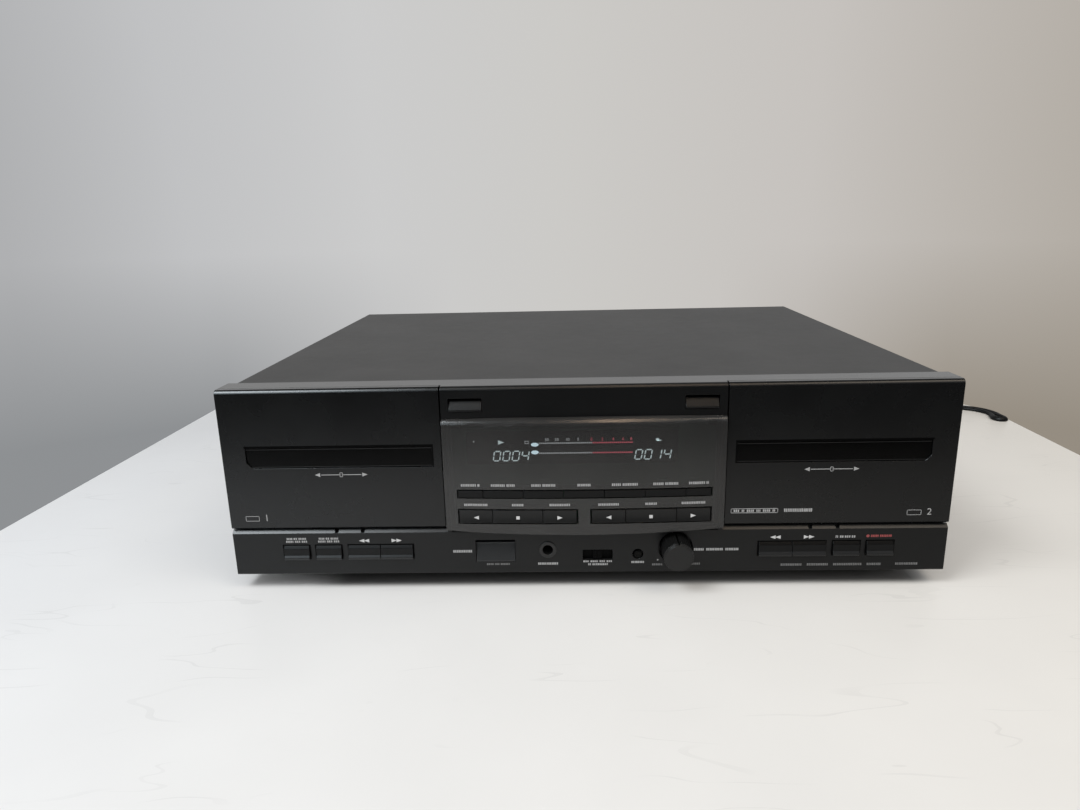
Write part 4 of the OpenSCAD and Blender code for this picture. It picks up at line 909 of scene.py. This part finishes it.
# %% Light the level scale
scale_pale, scale_red, scale_dim = bmesh.new(), bmesh.new(), bmesh.new()
scale_left, scale_step, red_from = -26.4, 1.16, 5.1
for z in (83.3, 77.0):
    for i in range(49):
        x = scale_left + i * scale_step
        bar(scale_red if x > red_from else scale_pale, x, z, 0.75, 0.85)
for x, text in ((-22, "30"), (-16, "20"), (-9.5, "10"), (-3, "5")):
    figure(scale_pale, text, x, 85.5, 1.8)
for x, text in ((5, "0"), (11.5, "2"), (18, "4"), (24, "6"), (28.8, "8")):
    figure(scale_red, text, x, 85.5, 1.8)
frame_box(scale_dim, -34.2, 84.0, 2.4, 1.8, 0.3)
disc(scale_dim, -66.3, 84.9, 0.9)
for name, ink, look in (("lit_counters", figures, "lit_segments"), ("lit_ovals", ovals, "lit_bright"),
                        ("lit_scale", scale_pale, "lit_dim"), ("lit_peaks", scale_red, "lit_red"),
                        ("lit_signs", scale_dim, "lit_dim")):
    printed(name, ink, look, surface=lambda x: tube_face)
print("level marks every", scale_step, "mm")

# %% [markdown]
# The tube is a thin dark plate just behind the lit figures, rounded at its corners. Between the two lie
# the unlit figures, which show as a faint grey when light falls in.

# %% Glaze the display tube
finish("tube_glass", grey(0.01), 0.2, grain=4.0, bump=0.002, gloss=0.3)
finish("unlit_segments", grey(0.035), 0.5, grain=0.3, bump=0.002)
glass = bmesh.new()
bmesh.ops.create_cube(glass, size=1)
bmesh.ops.scale(glass, verts=glass.verts, vec=(128 * MM, 0.08 * MM, 21 * MM))
bmesh.ops.translate(glass, verts=glass.verts, vec=on_front(-7, 4.45, 80.7))
corners = [e for e in glass.edges if abs((e.verts[0].co - e.verts[1].co).y) > 0.01 * MM]
bmesh.ops.bevel(glass, geom=corners, offset=1.5 * MM, segments=4, profile=0.5, affect="EDGES", material=-1)
dress(new_piece("tube_glass", glass, "cabinet"), "tube_glass")
unlit = bmesh.new()
for x, text in counters:
    counter(unlit, x, "8888")
printed("unlit_segments", unlit, "unlit_segments", surface=lambda x: tube_face + INK * 0.85)
print("the tube is glazed")

# %% [markdown]
# The level knob keeps its measured shape, grooves and pointer slot. Its copy gets softer edges, so that
# the rim of its face catches a line of light.

# %% Finish the knob
finish("knob_plastic", grey(0.0065), 0.32, grain=0.3, bump=0.012, edge=0.2, wear=0.7)
dress(softened("level_knob", 0.12, angle=50), "knob_plastic")
dress(soft_keys["mode_button"], "door_acrylic")
# The power button wears a lighter finish, a painted highlight for the light its tilted face catches.
dress(soft_keys["power_button"], "power_plastic")
print("knob, mode button and power button")

# %% [markdown]
# Seven black screws hold the cover. A head is a low dome, spun from its outline, with a cross recess that
# a Boolean with a tapered cross cuts. One finished head is copied round.

# %% Make the screws
head_radius, head_height = 3.4, 1.8


def screw_head():
    """A mesh of one screw head, its flat side at the origin and its dome towards -y."""
    head = bmesh.new()
    outline = [(0, 0), (head_radius, 0), (head_radius, -0.7), (head_radius - 0.5, -1.3),
               (head_radius - 1.4, -head_height), (0, -head_height)]
    points = [head.verts.new((r * MM, y * MM, 0)) for r, y in outline]
    edges = [head.edges.new(pair) for pair in zip(points, points[1:])]
    bmesh.ops.spin(head, geom=points + edges, axis=(0, 1, 0), angle=2 * pi, steps=32, use_merge=True)
    bmesh.ops.remove_doubles(head, verts=head.verts, dist=0.001 * MM)
    bmesh.ops.recalc_face_normals(head, faces=head.faces)
    dome = new_piece("screw_dome", head)
    cross = bmesh.new()
    for turn in (0, pi / 2):
        blade = bmesh.ops.create_cube(cross, size=1)["verts"]
        for vert in blade:
            deep = vert.co.y > 0
            vert.co = Vector((vert.co.x * (2.6 if deep else 3.8), -0.7 if deep else -3.0,
                              vert.co.z * (0.7 if deep else 1.0))) * MM
        bmesh.ops.rotate(cross, verts=blade, matrix=Matrix.Rotation(turn, 3, "Y"))
    cutter = new_piece("screw_cross", cross)
    cut = dome.modifiers.new("cross", "BOOLEAN")
    cut.object = cutter
    cut.solver = "EXACT"
    cut.use_self = True
    bpy.context.view_layer.update()
    cut_head = bpy.data.meshes.new_from_object(dome.evaluated_get(bpy.context.evaluated_depsgraph_get()))
    for spare in (dome, cutter):
        bpy.data.objects.remove(spare)
    return cut_head


head_mesh = screw_head()
cover_side, cover_back, screw_top = 216, 346, 112.8
screws = bmesh.new()
screw_places = [(side * cover_side, y, 28, side * 90) for side in (-1, 1) for y in (70, 286)]
screw_places += [(x, cover_back, screw_top, 180) for x in (-190, 0, 190)]
for x, y, z, turn in screw_places:
    one = head_mesh.copy()
    twist = Matrix.Rotation(radians(20 + y + x), 4, "Y")
    one.transform(Matrix.Translation(on_front(x, y, z)) @ Matrix.Rotation(radians(turn), 4, "Z") @ twist)
    screws.from_mesh(one)
    bpy.data.meshes.remove(one)
screw_piece = new_piece("screws", screws, "cabinet", 35)
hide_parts("cover_screws")
dress(screw_piece, "screw_steel")
print("seven screws of", len(head_mesh.polygons), "faces")

# %% [markdown]
# The line sockets have a coloured insulator round the pin's hole, white for one channel and red for the
# other. Each is a short tube, spun from its outline.

# %% Line the sockets
tube_outline = [(1.65, 346.2), (3.35, 346.2), (3.35, 352.4), (3.0, 352.8), (1.9, 352.8), (1.65, 352.5)]
for z, hue, colour in ((56, "white", grey(0.6, 0.02)), (40, "red", (0.45, 0.02, 0.02, 1))):
    finish(hue + "_nylon", colour, 0.4, grain=0.4)
    tubes = bmesh.new()
    for x in (-150, -134):
        face = tubes.faces.new([tubes.verts.new(on_front(x + r, y, z)) for r, y in tube_outline])
        bmesh.ops.spin(tubes, geom=[face], cent=on_front(x, 0, z), axis=(0, 1, 0), angle=2 * pi, steps=32,
                       use_merge=True)
    bmesh.ops.remove_doubles(tubes, verts=tubes.verts, dist=0.001 * MM)
    inner = [f for f in tubes.faces if len(f.verts) > 4]
    bmesh.ops.delete(tubes, geom=inner, context="FACES_ONLY")
    bmesh.ops.recalc_face_normals(tubes, faces=tubes.faces)
    dress(new_piece("socket_" + hue, tubes, "cabinet", 35), hue + "_nylon")
print("four insulators")

# %% [markdown]
# The plug on the lead is moulded in the same rubber, with two pins that are bare metal at their tips and
# sleeved near the body. Its copy takes a second finish for the faces near the tips.

# %% Finish the plug
plug = softened("mains_plug", 0.3, angle=45)
dress(plug, "lead_rubber", "bright_metal")
pin_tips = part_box("mains_plug")[1].x - 9 * MM
for face in plug.data.polygons:
    face.material_index = 1 if face.center.x > pin_tips else 0
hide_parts("mains_plug")
print("the pins are bare over 9 mm")

# %% [markdown]
# The light is that of a room: a pale world that fills every side, and two soft lamps from the front left
# and right, one a little cooler and one a little warmer. The camera sees the world as a wall; shiny
# surfaces see a dark room with a bright window, a dim one and a warm lamp.

# %% Light the scene
scene.world = bpy.data.worlds.new("pale_wall")
tree = empty_tree(scene.world)
looking = add(tree, "SeparateXYZ", Vector=add(tree, "TexCoord").outputs["Generated"]).outputs
rays = add(tree, "LightPath").outputs


def between(axis, low, high, start=0.0, end=1.0):
    """A value that grows from start to end as one axis of the view goes from low to high."""
    return ramp(tree, looking[axis], low, high, start, end)


wall = add(tree, "ValToRGB", Fac=between("X", -0.6, 0.6))
wall.color_ramp.elements[0].color = (0.43, 0.435, 0.445, 1)
wall.color_ramp.elements[1].color = (0.43, 0.395, 0.35, 1)
for place, colour in ((0.125, (0.53, 0.535, 0.545, 1)), (0.3, (0.60, 0.60, 0.60, 1)),
                      (0.5, (0.60, 0.59, 0.57, 1)), (0.75, (0.565, 0.54, 0.515, 1))):
    wall.color_ramp.elements.new(place).color = colour
# The wall's tone is lighter in its middle, and painted shade darkens it towards its lower left and lower
# right.
lower = between("Z", -0.04, -0.24)
shaded = blend(tree, times(tree, between("X", -0.15, -0.42), lower), wall.outputs[0], (0.27, 0.28, 0.29, 1))
shaded = blend(tree, times(tree, between("X", 0.2, 0.45), lower), shaded, (0.30, 0.265, 0.22, 1))
behind = times(tree, between("Z", -0.06, 0.02), between("Y", -0.1, 0.3), between("Z", 0.8, 0.55))
mirrored = blend(tree, behind, grey(0.03), grey(0.42))
before, high = between("Y", 0.0, -0.15), between("Z", 0.3, 0.6)
for limits, level, colour in (((between("X", -0.27, -0.34),), high, (6.0, 7.0, 7.6, 1)),
                              ((between("X", 0.2, 0.34),), high, grey(0.5)),
                              ((between("X", 0.04, 0.07), between("X", 0.14, 0.10)), between("Z", 0.62, 0.72),
                               (9.0, 6.6, 4.6, 1))):
    mirrored = blend(tree, times(tree, before, level, *limits), mirrored, colour)
fill_level = times(tree, between("Y", 0.3, -0.4, 0.12, 1.0), between("Z", 0.1, 0.7, 0.15, 1.6))
seen = add(tree, "Background", Color=shaded)
spread = add(tree, "Background", Color=(0.98, 0.99, 1.0, 1), Strength=fill_level)
shine = add(tree, "Background", Color=mirrored)
not_seen = add(tree, "MixShader", Fac=rays["Is Glossy Ray"], _1=spread.outputs[0], _2=shine.outputs[0])
surface = add(tree, "MixShader", Fac=rays["Is Camera Ray"], _1=not_seen.outputs[0], _2=seen.outputs[0])
add(tree, "OutputWorld", Surface=surface.outputs[0])
print("a world for camera, shine and fill")


def soft_lamp(name, place, power, colour):
    """A rectangular lamp that faces the deck."""
    data = bpy.data.lights.new(name, "AREA")
    data.shape = "RECTANGLE"
    data.size, data.size_y = 1.0, 0.7
    data.energy, data.color = power, colour
    lamp = placed(name, data)
    lamp.location = place
    lamp.rotation_euler = (-Vector(place)).to_track_quat("-Z", "Y").to_euler()


soft_lamp("left_lamp", (-1.1, -0.9, 1.8), 23, (0.95, 0.98, 1.0))
soft_lamp("right_lamp", (1.0, -0.9, 1.8), 6, (1.0, 0.86, 0.68))
scene.view_settings.view_transform = "Standard"
print("a world and two lamps")

# %% [markdown]
# The table top is a white laminate with a faint grain and old scratches, a little warmer to the right.
# The shiny front mirrors it, and in that mirror image painted shade darkens the table towards its near
# edge and to the right. Under the cabinet, where soft lamps leak in too much light, painted shade darkens it.

# %% Finish the table
finishes["table_white"] = bpy.data.materials.new("table_white")
tree = empty_tree(finishes["table_white"])
coords = add(tree, "TexCoord").outputs["Object"]
place = add(tree, "SeparateXYZ", Vector=coords).outputs
tone = blend(tree, ramp(tree, place["X"], -0.4, 0.5), (0.74, 0.75, 0.765, 1), (0.76, 0.72, 0.66, 1))
cloudy = ramp(tree, noise_of(tree, coords, 9.0, 5.0), 0.3, 0.7, 0.975, 1.015)
marks = 0.0
for turn, size, width in ((0.5, 26.0, 0.0035), (1.9, 17.0, 0.0030), (2.8, 38.0, 0.0040)):
    turned = add(tree, "Mapping", Vector=coords, Rotation=(0, 0, turn), Scale=(1.0, 5.0, 1.0)).outputs[0]
    line = calc(tree, "COMPARE", noise_of(tree, turned, size / 5, 2.0, 0.4), 0.5, width)
    here = ramp(tree, noise_of(tree, coords, size / 3, 3.0), 0.54, 0.62)
    marks = calc(tree, "MAXIMUM", marks, times(tree, line, here))
tinted = scaled(tree, tone, times(tree, cloudy, calc(tree, "MULTIPLY_ADD", marks, -0.07, 1.0)))
# Painted shade under the cabinet.
painted_shade_under = times(tree, ramp(tree, place["Y"], -0.170, -0.160, 0.0, 0.75, "SMOOTHSTEP"),
                ramp(tree, place["Y"], 0.17, 0.13), ramp(tree, place["X"], 0.215, 0.205),
                ramp(tree, place["X"], -0.18, -0.15, kind="SMOOTHSTEP"))
tinted = scaled(tree, tinted, calc(tree, "SUBTRACT", 1.0, painted_shade_under))
# Painted shade in the table's mirror image, darker towards its near edge and to the right.
mirror_painted_shade = times(tree, ramp(tree, place["Y"], -0.36, -0.50, 1.0, 0.08),
               ramp(tree, place["X"], -0.15, 0.25, 1.0, 0.55))
in_mirror = add(tree, "LightPath").outputs["Is Glossy Ray"]
tinted = blend(tree, in_mirror, tinted, scaled(tree, tinted, mirror_painted_shade))
grooves = add(tree, "Bump", Height=marks, Strength=0.4, Distance=0.04 * MM)
shader = add(tree, "BsdfPrincipled", Base_Color=tinted, Roughness=0.3, Specular_IOR_Level=0.4,
             Normal=grooves.outputs[0])
add(tree, "OutputMaterial", Surface=shader.outputs[0])
dress(table, "table_white")
print("a white table")
